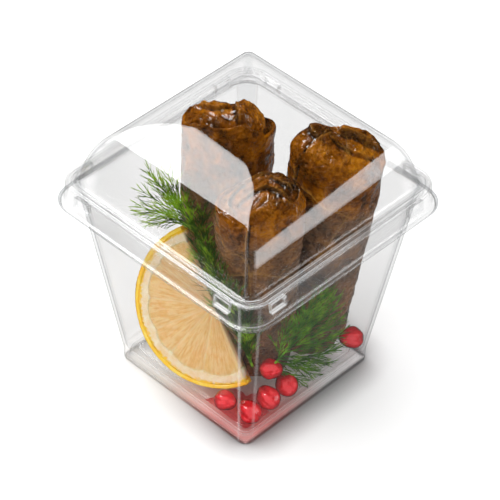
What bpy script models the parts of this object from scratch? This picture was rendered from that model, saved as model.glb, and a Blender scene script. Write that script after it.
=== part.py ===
"""Three stuffed vine-leaf rolls in a shut, clear, square food box.

The box is a tapered cup and a domed lid. Beside the rolls it holds half a slice of
lemon, two sprigs of dill and seven pomegranate seeds. Metres, +Z up. The origin is
on the ground under the middle of the box, whose faces look along X and Y.
"""

import math

import bmesh
import bpy
from mathutils import Matrix, Vector

MM = 0.001
GAP = 0.3 * MM

# Cup: half widths of its square sections, heights and wall
CUP_FOOT_HALF = 29.4 * MM
CUP_WALL_HALF = 28.8 * MM
CUP_RIM_HALF = 39.45 * MM
CUP_WALL = 0.85 * MM
CUP_LEDGE_Z = 4.8 * MM
CUP_FLOOR_Z = 4.6 * MM
CUP_RIM_Z = 75.9 * MM
CUP_LIP_HALF = 40.9 * MM
CUP_FOOT_CORNER = 3.4 * MM
CUP_RIM_CORNER = 4.8 * MM

# Lid: a square dome on a grooved ring with a skirt and a flange
LID_WALL = 0.8 * MM
DOME_HALF = 38.4 * MM
DOME_BASE_Z = 77.5 * MM
DOME_HEIGHT = 23.3 * MM
DOME_DRAFT = 0.19
DOME_SIDE_POWER = 4.8
DOME_TOP_POWER = 3.1
DOME_CORNER = 3.2 * MM
DOME_STEPS = 10
SKIRT_HALF = 43.25 * MM
SKIRT_CORNER = 9.0 * MM
FLANGE_HALF = 45.0 * MM
FLANGE_Z = 69.3 * MM
POCKET_PLACE = 31.0 * MM
POCKET_SIZE = (8.0 * MM, 1.2 * MM, 4.2 * MM)
POCKET_Z = 74.0 * MM

CORNER_STEPS = 4

# Rolls: "across" is the direction of their broad side
ACROSS_TURN = math.radians(43.7)
ROLL_SIDES = 30
ROLL_PRESS_POWER = 12
WRAP_STEP = 0.9 * MM

# Lemon: half a slice that leans back on the rolls
LEMON_CENTER = Vector((-0.8, -14.3, 32.4)) * MM
LEMON_TURN = math.radians(19.5)
LEMON_LEAN = math.radians(27.0)
LEMON_CUT_TURN = math.radians(-52.6)
LEMON_RADIUS = 27.8 * MM
LEMON_THICK = 4.6 * MM
ZEST_THICK = 1.3 * MM
PITH_THICK = 3.0 * MM
LEMON_SEGMENTS = 5

SEED_LENGTH = 8.8 * MM
SEED_WIDTH = 7.7 * MM


def clear_scene():
    for thing in list(bpy.data.objects):
        bpy.data.objects.remove(thing, do_unlink=True)


def make_collection(name):
    collection = bpy.data.collections.new(name)
    bpy.context.scene.collection.children.link(collection)
    return collection


def make_material(name, color, roughness, alpha=1.0, metallic=0.0):
    material = bpy.data.materials.new(name)
    material.use_nodes = True
    shader = material.node_tree.nodes["Principled BSDF"]
    shader.inputs["Base Color"].default_value = (*color, 1.0)
    shader.inputs["Roughness"].default_value = roughness
    shader.inputs["Metallic"].default_value = metallic
    shader.inputs["Alpha"].default_value = alpha
    material.diffuse_color = (*color, alpha)
    return material


def add_mesh(name, vertices, faces, collection, material=None, smooth_angle=40):
    mesh = bpy.data.meshes.new(name)
    mesh.from_pydata([tuple(v) for v in vertices], [], faces)
    mesh.update()
    thing = bpy.data.objects.new(name, mesh)
    collection.objects.link(thing)
    if material:
        mesh.materials.append(material)
    mesh.shade_smooth()
    mesh.set_sharp_from_angle(angle=math.radians(smooth_angle))
    return thing


def apply_modifiers(thing):
    """Swap the object's mesh for the one that its modifiers give."""
    graph = bpy.context.evaluated_depsgraph_get()
    mesh = bpy.data.meshes.new_from_object(thing.evaluated_get(graph))
    thing.modifiers.clear()
    thing.data = mesh


def lerp(a, b, t):
    return a + (b - a) * t


def ease(t):
    t = min(1.0, max(0.0, t))
    return t * t * (3 - 2 * t)


# Box


def rounded_square(half, z, corner):
    """Points of a square ring with rounded corners, anticlockwise from above."""
    corner = min(corner, half * 0.9)
    points = []
    for quarter in range(4):
        middle = math.pi / 4 + quarter * math.pi / 2
        center_x = math.copysign(half - corner, math.cos(middle))
        center_y = math.copysign(half - corner, math.sin(middle))
        for step in range(CORNER_STEPS + 1):
            angle = middle + (step / CORNER_STEPS - 0.5) * math.pi / 2
            points.append(
                (center_x + corner * math.cos(angle), center_y + corner * math.sin(angle), z)
            )
    return points


def square_loft(name, profile, collection, material):
    """Close a solid from a profile of (half width, z, corner radius) stations.

    The profile runs from the middle of the upper or outer face down the outside and
    back along the inner face, so both of its ends are capped with a flat face.
    """
    rings = [rounded_square(*station) for station in profile]
    count = len(rings[0])
    vertices = [point for ring in rings for point in ring]
    faces = []
    for row in range(len(rings) - 1):
        for k in range(count):
            a, b = row * count + k, row * count + (k + 1) % count
            faces.append((b, a, a + count, b + count))
    last = (len(rings) - 1) * count
    faces.append(tuple(range(count)))
    faces.append(tuple(last + k for k in reversed(range(count))))
    return add_mesh(name, vertices, faces, collection, material, smooth_angle=35)


def wall_behind(profile, wall):
    """Offset a profile to its inner side by the wall, along its own normals."""
    inner = []
    for k, (half, z, corner) in enumerate(profile):
        before, after = profile[max(0, k - 1)], profile[min(len(profile) - 1, k + 1)]
        along = Vector((after[0] - before[0], after[1] - before[1])).normalized()
        inward = Vector((along.y, -along.x))
        inner.append((half + inward.x * wall, z + inward.y * wall, max(0.3 * MM, corner - wall)))
    return inner


def wall_half(z):
    """Outer half width of the cup's wall at height z."""
    return lerp(CUP_WALL_HALF, CUP_RIM_HALF, z / CUP_RIM_Z)


def cup_profile():
    def wall_corner(z):
        return lerp(CUP_FOOT_CORNER, CUP_RIM_CORNER, z / CUP_RIM_Z)

    top = CUP_RIM_Z
    under_floor = CUP_FLOOR_Z - CUP_WALL
    outside = [
        (4.0 * MM, under_floor + 0.4 * MM, 2.0 * MM),
        (CUP_FOOT_HALF - 3.6 * MM, under_floor + 0.4 * MM, CUP_FOOT_CORNER),
        (CUP_FOOT_HALF - 4.0 * MM, under_floor, CUP_FOOT_CORNER),
        (CUP_FOOT_HALF - 1.6 * MM, under_floor, CUP_FOOT_CORNER),
        (CUP_FOOT_HALF - 1.5 * MM, 0.2 * MM, CUP_FOOT_CORNER - 1.0 * MM),
        (CUP_FOOT_HALF - 1.3 * MM, 0.0, CUP_FOOT_CORNER - 1.0 * MM),
        (CUP_FOOT_HALF - 0.4 * MM, 0.0, CUP_FOOT_CORNER - 0.3 * MM),
        (CUP_FOOT_HALF, 0.5 * MM, CUP_FOOT_CORNER),
        (CUP_FOOT_HALF + 0.1 * MM, CUP_LEDGE_Z - 0.5 * MM, CUP_FOOT_CORNER),
        (CUP_FOOT_HALF - 0.2 * MM, CUP_LEDGE_Z, CUP_FOOT_CORNER),
        (wall_half(CUP_LEDGE_Z) + 0.05 * MM, CUP_LEDGE_Z + 0.5 * MM, CUP_FOOT_CORNER),
    ]
    for z in (24 * MM, 48 * MM, top - 2.2 * MM):
        outside.append((wall_half(z), z, wall_corner(z)))
    outside += [
        (wall_half(top) + 0.5 * MM, top - 1.3 * MM, CUP_RIM_CORNER + 0.7 * MM),
        (CUP_LIP_HALF - 0.4 * MM, top - 1.3 * MM, 5.9 * MM),
        (CUP_LIP_HALF, top - 0.9 * MM, 6.3 * MM),
        (CUP_LIP_HALF, top - 0.4 * MM, 6.3 * MM),
        (CUP_LIP_HALF - 0.4 * MM, top, 5.9 * MM),
    ]
    inside = [
        (wall_half(top) - 0.3 * MM, top, CUP_RIM_CORNER),
        (wall_half(top) - CUP_WALL, top - 0.6 * MM, CUP_RIM_CORNER - 0.4 * MM),
    ]
    for z in (48 * MM, 24 * MM, CUP_FLOOR_Z + 1.2 * MM):
        inside.append((wall_half(z) - CUP_WALL, z, wall_corner(z) - 0.6 * MM))
    inside += [
        (CUP_FOOT_HALF - CUP_WALL - 0.2 * MM, CUP_FLOOR_Z + 0.4 * MM, 2.4 * MM),
        (CUP_FOOT_HALF - CUP_WALL - 0.9 * MM, CUP_FLOOR_Z, 2.0 * MM),
        (CUP_FOOT_HALF - 3.8 * MM, CUP_FLOOR_Z, CUP_FOOT_CORNER),
        (CUP_FOOT_HALF - 4.2 * MM, CUP_FLOOR_Z + 0.4 * MM, CUP_FOOT_CORNER),
        (4.0 * MM, CUP_FLOOR_Z + 0.4 * MM, 2.0 * MM),
    ]
    return outside + inside


def make_cup(collection):
    plastic = make_material("clear_cup_plastic", (0.86, 0.88, 0.89), 0.06, alpha=0.3)
    profile = list(reversed(cup_profile()))
    return square_loft("cup", profile, collection, plastic)


def dome_station(t):
    """Station of the dome's face at angle t, from 90 degrees at its top to 0 at its base."""
    rise = DOME_HEIGHT * math.sin(t) ** (2 / DOME_TOP_POWER)
    half = DOME_HALF * math.cos(t) ** (2 / DOME_SIDE_POWER) - DOME_DRAFT * rise
    return half, DOME_BASE_Z + rise, min(DOME_CORNER, 0.25 * half)


def lid_profile():
    profile = []
    for step in range(DOME_STEPS + 1):
        share = step / DOME_STEPS
        t = math.radians(89.95) * (1 - share) ** 1.25
        profile.append(dome_station(t))
    profile[0] = (2.0 * MM, DOME_BASE_Z + DOME_HEIGHT, 0.5 * MM)
    ring = [  # offsets from the skirt's half width, heights and corner radii, going out
        (-4.55, 77.3, 4.2),
        (-4.0, 77.0, 4.8),
        (-3.4, 77.2, 5.6),
        (-3.0, 78.1, 6.0),
        (-2.4, 78.4, 6.5),
        (-1.8, 78.1, 7.0),
        (-1.4, 77.6, 7.6),
        (-0.9, 77.8, 8.1),
        (-0.3, 77.7, 8.7),
        (0.0, 77.1, 9.0),
        (0.35, 71.2, 9.0),
        (0.6, 70.6, 9.0),
        (1.4, 70.3, 9.1),
        (1.75, 69.9, 9.1),
    ]
    for out, z, corner in ring:
        profile.append((SKIRT_HALF + out * MM, z * MM, corner * MM))
    return profile


def make_lid(collection, cutters):
    plastic = make_material("clear_lid_plastic", (0.88, 0.9, 0.91), 0.05, alpha=0.25)
    outer = lid_profile()
    inner = wall_behind(outer, LID_WALL)
    edge = [
        (FLANGE_HALF - 0.2 * MM, FLANGE_Z + 0.1 * MM, SKIRT_CORNER),
        (FLANGE_HALF - 0.8 * MM, FLANGE_Z, SKIRT_CORNER),
    ]
    lid = square_loft("lid", outer + edge + list(reversed(inner)), collection, plastic)
    along, depth, height = POCKET_SIZE
    wall = LID_WALL
    face = SKIRT_HALF + 0.2 * MM
    for boss in (True, False):
        for quarter in range(4):
            for side in (-1, 1):
                if boss:
                    size = (along + 2 * wall, depth + wall, height + 1.4 * wall)
                    reach = face - wall / 2 - depth / 2 - 0.1 * MM
                else:
                    size = (along, 2 * depth, height)
                    reach = face
                place = Vector((side * POCKET_PLACE, -reach, POCKET_Z))
                block = add_block(f"pocket_{boss}_{quarter}_{side}", size, cutters)
                turn = Matrix.Rotation(quarter * math.pi / 2, 4, "Z")
                block.matrix_world = turn @ Matrix.Translation(place)
                modifier = lid.modifiers.new(block.name, "BOOLEAN")
                modifier.operation = "UNION" if boss else "DIFFERENCE"
                modifier.object = block
    return lid


def add_block(name, size, collection):
    """A box that is kept out of the model as a cutter."""
    mesh = bpy.data.meshes.new(name)
    shape = bmesh.new()
    bmesh.ops.create_cube(shape, size=1.0)
    bmesh.ops.scale(shape, vec=size, verts=shape.verts)
    shape.to_mesh(mesh)
    shape.free()
    block = bpy.data.objects.new(name, mesh)
    collection.objects.link(block)
    block.hide_render = True
    block.display_type = "WIRE"
    return block


# Rolls

# Places of the axis on the floor and at the end, height of the end's middle, half of
# the breadth and of the depth, and the folds of the leaf over the end: direction in
# degrees from "across", distance of the fold from the axis, height and length of its
# slope. The tilt raises the end towards the front, the bulge its middle.
ROLLS = {
    "roll_left": {
        "foot": (-17.2, 5.4),
        "head": (-16.0, 6.6),
        "height": 87.0,
        "breadth": 15.9,
        "depth": 10.8,
        "tilt": 0.14,
        "bulge": 4.2,
        "collar": 2.2,
        "seam": 60,
        "folds": ((200, -3.0, 2.2, 14.0), (75, 1.0, 1.4, 9.0), (320, 4.0, 1.2, 8.0)),
    },
    "roll_right": {
        "foot": (12.8, 14.2),
        "head": (16.9, 22.3),
        "height": 87.6,
        "breadth": 16.2,
        "depth": 11.2,
        "tilt": 0.10,
        "bulge": 2.4,
        "collar": 0.0,
        "seam": 215,
        "folds": ((20, -4.0, 2.4, 16.0), (250, 0.0, 1.6, 10.0), (140, 3.0, 1.4, 10.0)),
    },
    "roll_front": {
        "foot": (9.3, -4.6),
        "head": (11.0, -6.3),
        "height": 81.6,
        "breadth": 14.4,
        "depth": 10.2,
        "tilt": 0.12,
        "bulge": 3.6,
        "collar": 1.2,
        "seam": 265,
        "folds": ((285, -1.0, 2.4, 12.0), (240, 4.0, 1.8, 8.0), (100, 2.0, 1.2, 9.0)),
    },
}


def roll_axis(roll, z):
    """Middle of the roll's section at height z."""
    foot, head = Vector(roll["foot"]) * MM, Vector(roll["head"]) * MM
    return foot.lerp(head, z / (roll["height"] * MM))


def roll_girth(roll, z):
    """Share of the full section that the roll has at height z; it thins to its foot."""
    share = z / (roll["height"] * MM)
    return 0.84 + 0.10 * ease(share * 1.6) + 0.06 * ease(share * 2.2 - 1.1)


def oval_radius(roll, angle, z):
    """Radius of the free oval section towards a world angle."""
    along = angle - ACROSS_TURN
    girth = roll_girth(roll, z)
    a, b = roll["breadth"] * MM * girth, roll["depth"] * MM * girth
    return 1 / math.sqrt((math.cos(along) / a) ** 2 + (math.sin(along) / b) ** 2)


def neighbour_room(name, center, direction, z):
    """Distances at which the planes between this roll and its neighbours stand."""
    for other_name, other in ROLLS.items():
        if other_name == name:
            continue
        apart = roll_axis(other, z) - center
        towards = apart.normalized()
        facing = direction.dot(towards)
        if facing < 0.05:
            continue
        angle = math.atan2(towards.y, towards.x)
        own = oval_radius(ROLLS[name], angle, z)
        theirs = oval_radius(other, angle + math.pi, z)
        yield (apart.length * own / (own + theirs) - GAP) / facing


def wall_room(center, direction, z):
    """Distances at which the cup's four inner walls stand."""
    half = wall_half(z) - CUP_WALL - 2 * GAP
    for axis in range(2):
        if abs(direction[axis]) > 0.05:
            yield (math.copysign(half, direction[axis]) - center[axis]) / direction[axis]


def slice_room(center, direction, z):
    """Distance at which a level ray meets the lemon slice, or more if it passes beside."""
    across, up, out = lemon_axes()
    ray = Vector((direction.x, direction.y, 0))
    start = Vector((center.x, center.y, z)) - LEMON_CENTER
    past_cut = up * math.cos(LEMON_CUT_TURN) - across * math.sin(LEMON_CUT_TURN)
    enter, leave = 0.0, 1.0
    for normal, limit in ((out, 0.0), (-out, LEMON_THICK), (past_cut, 0.0)):
        room = limit + 6 * GAP - start.dot(normal)
        rate = ray.dot(normal)
        if rate < 0:
            enter = max(enter, room / rate)
        elif rate > 0:
            leave = min(leave, room / rate)
    place = Vector((start.dot(across), start.dot(up)))
    step = Vector((ray.dot(across), ray.dot(up)))
    nearest = -place.dot(step) / step.length_squared
    beside = (place + step * nearest).length
    half_chord = math.sqrt(max(0.0, LEMON_RADIUS**2 - beside**2)) / step.length
    enter, leave = max(enter, nearest - half_chord), min(leave, nearest + half_chord)
    if leave > 0:
        yield enter + max(0.0, enter - leave) + max(0.0, beside - LEMON_RADIUS)


def seed_room(center, direction, z):
    """Distances at which seeds stand in the way."""
    for x, y, middle, _, size in SEEDS:
        girth = (0.5 * size * SEED_LENGTH + 2 * GAP) ** 2 - (z - middle * MM) ** 2
        apart = Vector((x, y)) * MM - center
        along = apart.dot(direction)
        chord = girth - (apart.length_squared - along**2)
        if along > 0 and chord > 0:
            yield along - math.sqrt(chord)


def pressed_radius(name, angle, z):
    """Radius of a section where it gives way to walls, neighbours, the slice and seeds."""
    center = roll_axis(ROLLS[name], z)
    direction = Vector((math.cos(angle), math.sin(angle)))
    limits = [oval_radius(ROLLS[name], angle, z)]
    limits += neighbour_room(name, center, direction, z)
    limits += wall_room(center, direction, z)
    limits += slice_room(center, direction, z)
    limits += seed_room(center, direction, z)
    power = ROLL_PRESS_POWER
    return sum(limit**-power for limit in limits) ** (-1 / power)


def seam_step(roll, angle, z):
    """Height of the wrapped leaf's edge, which winds slowly round the roll."""
    start = math.radians(roll["seam"]) + 0.006 * z / MM
    turned = (angle - start) % (2 * math.pi)
    return WRAP_STEP * (1 - turned / (2 * math.pi))


def end_height(roll, x, y, share):
    """Height of the folded end above the roll's rim, at x, y from its axis."""
    across = x * math.cos(ACROSS_TURN) + y * math.sin(ACROSS_TURN)
    deep = -x * math.sin(ACROSS_TURN) + y * math.cos(ACROSS_TURN)
    height = -roll["tilt"] * deep
    height += roll["bulge"] * MM * (1 - share**2.5)
    for direction, offset, rise, slope in roll["folds"]:
        turn = math.radians(direction)
        past = across * math.cos(turn) + deep * math.sin(turn) - offset * MM
        if past > 0:
            height += rise * MM * math.exp(-past / (slope * MM)) * (1 - share**6)
    return height


def make_roll(name, collection, material):
    roll = ROLLS[name]
    rows = []
    floor = CUP_FLOOR_Z + 0.4 * MM + GAP
    top = roll["height"] * MM
    angles = [2 * math.pi * k / ROLL_SIDES for k in range(ROLL_SIDES)]

    def side_row(z, share, lift=lambda x, y: 0.0):
        center = roll_axis(roll, z)
        row = []
        for angle in angles:
            radius = (pressed_radius(name, angle, z) - seam_step(roll, angle, z)) * share
            x, y = radius * math.cos(angle), radius * math.sin(angle)
            row.append((center.x + x, center.y + y, z + lift(x, y)))
        rows.append(row)

    for z, share in ((0, 0.35), (0, 0.66), (1.2, 0.80), (3.6, 0.90), (7.0, 0.96)):
        side_row(floor + z * MM, share)
    for step in range(9):
        z = lerp(floor + 11 * MM, top - 6 * MM, (step / 8) ** 1.4)
        rise = ease((z - 60 * MM) / (top - 66 * MM))
        side_row(z, 1.0, lambda x, y: rise * end_height(roll, x, y, 1.0))
    collar = roll["collar"] * MM
    end_rows = [(top - 1.5 * MM, 1.0), (top - 0.3 * MM, 0.97), (top - collar, 0.90)]
    end_rows += [(top, share) for share in (0.84, 0.70, 0.52, 0.34, 0.16)]
    for z, share in end_rows:
        inner = 0 if share > 0.86 else 1
        side_row(z, share, lambda x, y: end_height(roll, x, y, share if inner else 1.0))

    count = ROLL_SIDES
    vertices = [point for row in rows for point in row]
    faces = []
    for row in range(len(rows) - 1):
        for k in range(count):
            a, b = row * count + k, row * count + (k + 1) % count
            faces.append((a, b, b + count, a + count))
    for row, outward in ((0, False), (len(rows) - 1, True)):
        ring = rows[row]
        middle = len(vertices)
        vertices.append(tuple(sum(p[i] for p in ring) / count for i in range(3)))
        for k in range(count):
            a, b = row * count + k, row * count + (k + 1) % count
            faces.append((a, b, middle) if outward else (b, a, middle))
    return add_mesh(name, vertices, faces, collection, material)


def make_rolls(collection):
    leaf = make_material("cooked_vine_leaf", (0.2, 0.085, 0.012), 0.3)
    for name in ROLLS:
        make_roll(name, collection, leaf)


# Lemon


def lemon_axes():
    """The slice's level direction, its upward direction and its face's outward normal."""
    turn, lean = LEMON_TURN, LEMON_LEAN
    across = Vector((math.cos(turn), math.sin(turn), 0))
    out = Vector((math.sin(turn) * math.cos(lean), -math.cos(turn) * math.cos(lean), math.sin(lean)))
    return across, out.cross(across), out


def lemon_matrix():
    """Places a slice drawn in XY, with its straight edge along X, at its leaning plane."""
    across, up, out = lemon_axes()
    turn = Matrix((across, up, out)).transposed().to_4x4()
    cut = Matrix.Rotation(LEMON_CUT_TURN, 4, "Z")
    return Matrix.Translation(LEMON_CENTER) @ turn @ cut


def make_lemon(collection):
    colors = {
        "lemon_zest": ((0.9, 0.5, 0.02), 0.35),
        "lemon_pith": ((0.9, 0.75, 0.5), 0.5),
        "lemon_pulp": ((0.8, 0.5, 0.15), 0.25),
    }
    radius = LEMON_RADIUS
    pith_out = radius - ZEST_THICK
    pulp_out = pith_out - PITH_THICK
    gap = GAP / 2
    pieces = {
        "lemon_zest": half_band(radius, pith_out + gap),
        "lemon_pith": half_band(pith_out - gap, pulp_out + gap),
        "lemon_pulp": pulp_outline(pulp_out - gap),
    }
    for name, outline in pieces.items():
        color, roughness = colors[name]
        material = make_material(name, color, roughness)
        make_plate(name, outline, LEMON_THICK, lemon_matrix(), collection, material)


def half_band(outer, inner):
    """Outline of a half ring below the X axis."""
    steps = 28
    points = []
    for k in range(steps + 1):
        angle = -math.pi * k / steps
        points.append((outer * math.cos(angle), outer * math.sin(angle)))
    for k in range(steps, -1, -1):
        angle = -math.pi * k / steps
        points.append((inner * math.cos(angle), inner * math.sin(angle)))
    return points


def pulp_outline(radius):
    """Outline of the half disc of segments, each a little rounded at the pith."""
    steps = 35
    points = []
    for k in range(steps + 1):
        share = k / steps
        swell = abs(math.sin(math.pi * share * LEMON_SEGMENTS)) ** 0.5
        reach = radius - 1.1 * MM * (1 - swell)
        angle = -math.pi * share
        points.append((reach * math.cos(angle), reach * math.sin(angle)))
    return points


def make_plate(name, outline, thick, matrix, collection, material):
    """Extrude a flat outline backwards by its thickness."""
    shape = bmesh.new()
    corners = [shape.verts.new((x, y, 0)) for x, y in outline]
    face = shape.faces.new(corners)
    back = bmesh.ops.extrude_face_region(shape, geom=[face])
    moved = [v for v in back["geom"] if isinstance(v, bmesh.types.BMVert)]
    bmesh.ops.translate(shape, verts=moved, vec=(0, 0, -thick))
    bmesh.ops.recalc_face_normals(shape, faces=shape.faces)
    bmesh.ops.triangulate(shape, faces=shape.faces)
    mesh = bpy.data.meshes.new(name)
    shape.to_mesh(mesh)
    shape.free()
    mesh.materials.append(material)
    thing = bpy.data.objects.new(name, mesh)
    collection.objects.link(thing)
    thing.matrix_world = matrix
    return thing


# Pomegranate seeds: middle, the way that the point turns in degrees, and size
SEEDS = (
    (25.0, 24.6, 9.3, 250, 1.0),
    (21.6, -10.0, 16.6, 20, 0.92),
    (24.8, -6.0, 9.3, 160, 1.0),
    (24.9, -14.6, 9.3, 175, 1.0),
    (24.9, -23.4, 9.3, 185, 1.0),
    (16.0, -25.1, 8.9, 10, 0.92),
    (-1.5, -15.9, 9.2, 30, 0.95),
)


def make_seeds(collection):
    flesh = make_material("pomegranate_flesh", (0.62, 0.02, 0.03), 0.12)
    for number, (x, y, z, turn, size) in enumerate(SEEDS, start=1):
        mesh = bpy.data.meshes.new(f"seed_{number}")
        shape = bmesh.new()
        bmesh.ops.create_uvsphere(shape, u_segments=12, v_segments=8, radius=0.5)
        for vert in shape.verts:
            taper = 1 - 0.35 * max(0.0, vert.co.z + 0.1)
            angle = math.atan2(vert.co.y, vert.co.x)
            facet = 1 + 0.04 * math.cos(5 * angle)
            vert.co.x *= size * SEED_WIDTH * taper * facet
            vert.co.y *= size * SEED_WIDTH * taper * facet
            vert.co.z *= size * SEED_LENGTH
        shape.to_mesh(mesh)
        shape.free()
        mesh.materials.append(flesh)
        mesh.shade_smooth()
        seed = bpy.data.objects.new(f"seed_{number}", mesh)
        collection.objects.link(seed)
        lie = Matrix.Rotation(math.radians(turn), 4, "Z") @ Matrix.Rotation(math.radians(70), 4, "Y")
        seed.matrix_world = Matrix.Translation(Vector((x, y, z)) * MM) @ lie


# Dill

DILL_STEM = 0.75 * MM
DILL_FROND = 0.5 * MM
DILL_LEAF = 0.4 * MM
VIEWER = Vector((0.69, -0.72, 0.0))  # the sprigs spread flat towards the front corner

# Route of each stem, and its fronds: share of the stem at which one starts, its tip
SPRIGS = {
    "dill_back": {
        "route": (
            (18.8, -15.9, 20.0),
            (17.0, -16.9, 25.3),
            (12.8, -18.6, 35.4),
            (8.2, -19.9, 45.4),
            (-0.2, -16.4, 50.2),
            (-8.6, -11.6, 52.2),
            (-12.6, -11.2, 56.6),
            (-14.7, -12.0, 63.0),
            (-15.4, -12.6, 71.0),
        ),
        "fronds": (
            (0.16, (20.6, -15.2, 35.6)),
            (0.30, (18.2, -16.6, 47.4)),
            (0.42, (12.0, -19.2, 57.0)),
            (0.54, (0.6, -20.8, 60.5)),
            (0.64, (-4.6, -12.8, 62.0)),
            (0.70, (-8.8, -10.8, 67.0)),
            (0.72, (-27.1, -24.1, 65.2)),
            (0.76, (-24.5, -21.6, 80.6)),
            (0.84, (-21.3, -18.6, 75.0)),
            (0.90, (-18.6, -16.4, 72.4)),
        ),
    },
    "dill_front": {
        "route": (
            (22.4, -9.8, 21.4),
            (25.2, -6.6, 28.6),
            (29.0, -1.6, 39.0),
            (33.0, 3.9, 50.0),
        ),
        "fronds": (
            (0.10, (27.5, 7.0, 7.4)),
            (0.16, (28.0, 13.6, 9.4)),
            (0.22, (28.6, 15.0, 17.0)),
            (0.34, (30.2, 13.6, 27.2)),
            (0.52, (31.6, 10.8, 39.0)),
            (0.28, (28.6, -9.4, 42.0)),
            (0.50, (31.6, -5.4, 50.0)),
        ),
    },
}


def make_tube(name, points, radius, collection):
    """A four-sided tube through the points, closed at both ends."""
    curve = bpy.data.curves.new(name, "CURVE")
    curve.dimensions = "3D"
    curve.bevel_depth = radius
    curve.bevel_resolution = 0
    curve.use_fill_caps = True
    spline = curve.splines.new("POLY")
    spline.points.add(len(points) - 1)
    for target, point in zip(spline.points, points):
        target.co = (*point, 1.0)
    drawn = bpy.data.objects.new(name, curve)
    collection.objects.link(drawn)
    graph = bpy.context.evaluated_depsgraph_get()
    mesh = bpy.data.meshes.new_from_object(drawn.evaluated_get(graph))
    bpy.data.objects.remove(drawn, do_unlink=True)
    shape = bmesh.new()
    shape.from_mesh(mesh)
    bmesh.ops.remove_doubles(shape, verts=shape.verts, dist=0.00001)
    bmesh.ops.recalc_face_normals(shape, faces=shape.faces)
    shape.to_mesh(mesh)
    shape.free()
    tube = bpy.data.objects.new(name, mesh)
    collection.objects.link(tube)
    return tube


def point_along(points, share):
    """Point at a share of the number of legs of a route."""
    place = share * (len(points) - 1)
    leg = min(int(place), len(points) - 2)
    return points[leg].lerp(points[leg + 1], place - leg)


def make_sprig(name, collection, material):
    route = [Vector(point) * MM for point in SPRIGS[name]["route"]]
    pieces = bpy.data.collections.new(name + "_pieces")
    bpy.context.scene.collection.children.link(pieces)
    sprig = make_tube(name, route, DILL_STEM, collection)
    sprig.data.materials.append(material)
    for number, (share, tip) in enumerate(SPRIGS[name]["fronds"]):
        start, tip = point_along(route, share), Vector(tip) * MM
        along = tip - start
        make_tube(f"frond_{number}", (start, start.lerp(tip, 0.5), tip), DILL_FROND, pieces)
        side = along.cross(VIEWER).normalized()
        for place, reach in ((0.35, 0.30), (0.55, 0.26), (0.75, 0.20)):
            for way in (-1, 1):
                foot = start.lerp(tip, place)
                leaf = along * 0.8 * reach + side * way * along.length * 0.5 * reach
                make_tube(f"leaf_{number}", (foot, foot + leaf), DILL_LEAF, pieces)
    joined = sprig.modifiers.new("joined", "BOOLEAN")
    joined.operation = "UNION"
    joined.operand_type = "COLLECTION"
    joined.collection = pieces
    apply_modifiers(sprig)
    for piece in list(pieces.objects):
        bpy.data.objects.remove(piece, do_unlink=True)
    bpy.data.collections.remove(pieces)


def make_dill(collection):
    green = make_material("dill_leaf", (0.05, 0.16, 0.01), 0.45)
    for name in SPRIGS:
        make_sprig(name, collection, green)


def main():
    clear_scene()
    parts = make_collection("dolma_box")
    cutters = make_collection("cutters")
    make_cup(parts)
    make_lid(parts, cutters)
    make_rolls(parts)
    make_lemon(parts)
    make_seeds(parts)
    make_dill(parts)


main()
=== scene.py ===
import math

import bpy
import numpy as np
from mathutils import Matrix, Vector


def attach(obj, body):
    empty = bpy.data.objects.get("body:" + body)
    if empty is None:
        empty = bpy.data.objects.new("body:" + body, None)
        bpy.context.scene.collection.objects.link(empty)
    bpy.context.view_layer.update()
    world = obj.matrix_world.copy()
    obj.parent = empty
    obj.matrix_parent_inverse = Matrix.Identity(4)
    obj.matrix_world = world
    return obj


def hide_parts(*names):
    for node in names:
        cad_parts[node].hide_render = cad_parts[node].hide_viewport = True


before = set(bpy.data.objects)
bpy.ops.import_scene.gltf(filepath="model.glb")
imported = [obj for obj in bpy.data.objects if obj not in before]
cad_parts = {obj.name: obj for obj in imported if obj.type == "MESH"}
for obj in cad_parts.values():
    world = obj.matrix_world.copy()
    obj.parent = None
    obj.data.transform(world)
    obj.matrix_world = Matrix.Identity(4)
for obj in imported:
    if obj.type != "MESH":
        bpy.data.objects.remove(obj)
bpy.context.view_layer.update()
mm = 0.001
collection = bpy.context.scene.collection
toRight, toCamera = (0.72, 0.69, 0.0), (0.69, -0.72, 0.0)  # along the floor, as the camera sees it


# sRGB hex to linear: each channel c is c/12.92 below 0.04045, else ((c + 0.055)/1.055)^2.4
def hexColor(text, alpha=1.0):
    channels = [int(text[k:k + 2], 16) / 255 for k in (0, 2, 4)]
    return (*[c / 12.92 if c < 0.04045 else ((c + 0.055) / 1.055) ** 2.4 for c in channels], alpha)


# one node with links or values by input name or number, its settings, and a ramp's stops as (place,
# hex colour); gives the output asked for
def addNode(tree, kind, inputs=None, output=0, stops=(), **settings):
    node = tree.nodes.new("ShaderNode" + kind)
    for key, value in settings.items():
        setattr(node, key, value)
    for key, value in (inputs or {}).items():
        if isinstance(value, bpy.types.NodeSocket):
            tree.links.new(value, node.inputs[key])
        else:
            node.inputs[key].default_value = value
    if stops:
        elements = node.color_ramp.elements
        while len(elements) < len(stops):
            elements.new(0.5)
        for element, (place, tone) in zip(elements, stops):
            element.position = place
            element.color = hexColor(tone)
    return node.outputs[output] if node.outputs else None


def newMaterial(name):
    material = bpy.data.materials.new(name)
    material.use_nodes = True
    material.node_tree.nodes.clear()
    return material, material.node_tree


# quads of a tube of rows by columns, joined round its columns, and its two end caps;
# turned swaps inside and outside
def tubeFaces(rows, columns, turned=False):
    r = np.arange(rows - 1)[:, None]
    c = np.arange(columns)[None, :]
    d = (c + 1) % columns
    corners = [r * columns + c, r * columns + d, (r + 1) * columns + d, (r + 1) * columns + c]
    quads = np.stack(corners, axis=-1).reshape(-1, 4)
    caps = [np.arange(columns)[::-1], (rows - 1) * columns + np.arange(columns)]
    return (quads[:, ::-1], [cap[::-1] for cap in caps]) if turned else (quads, caps)


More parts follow.
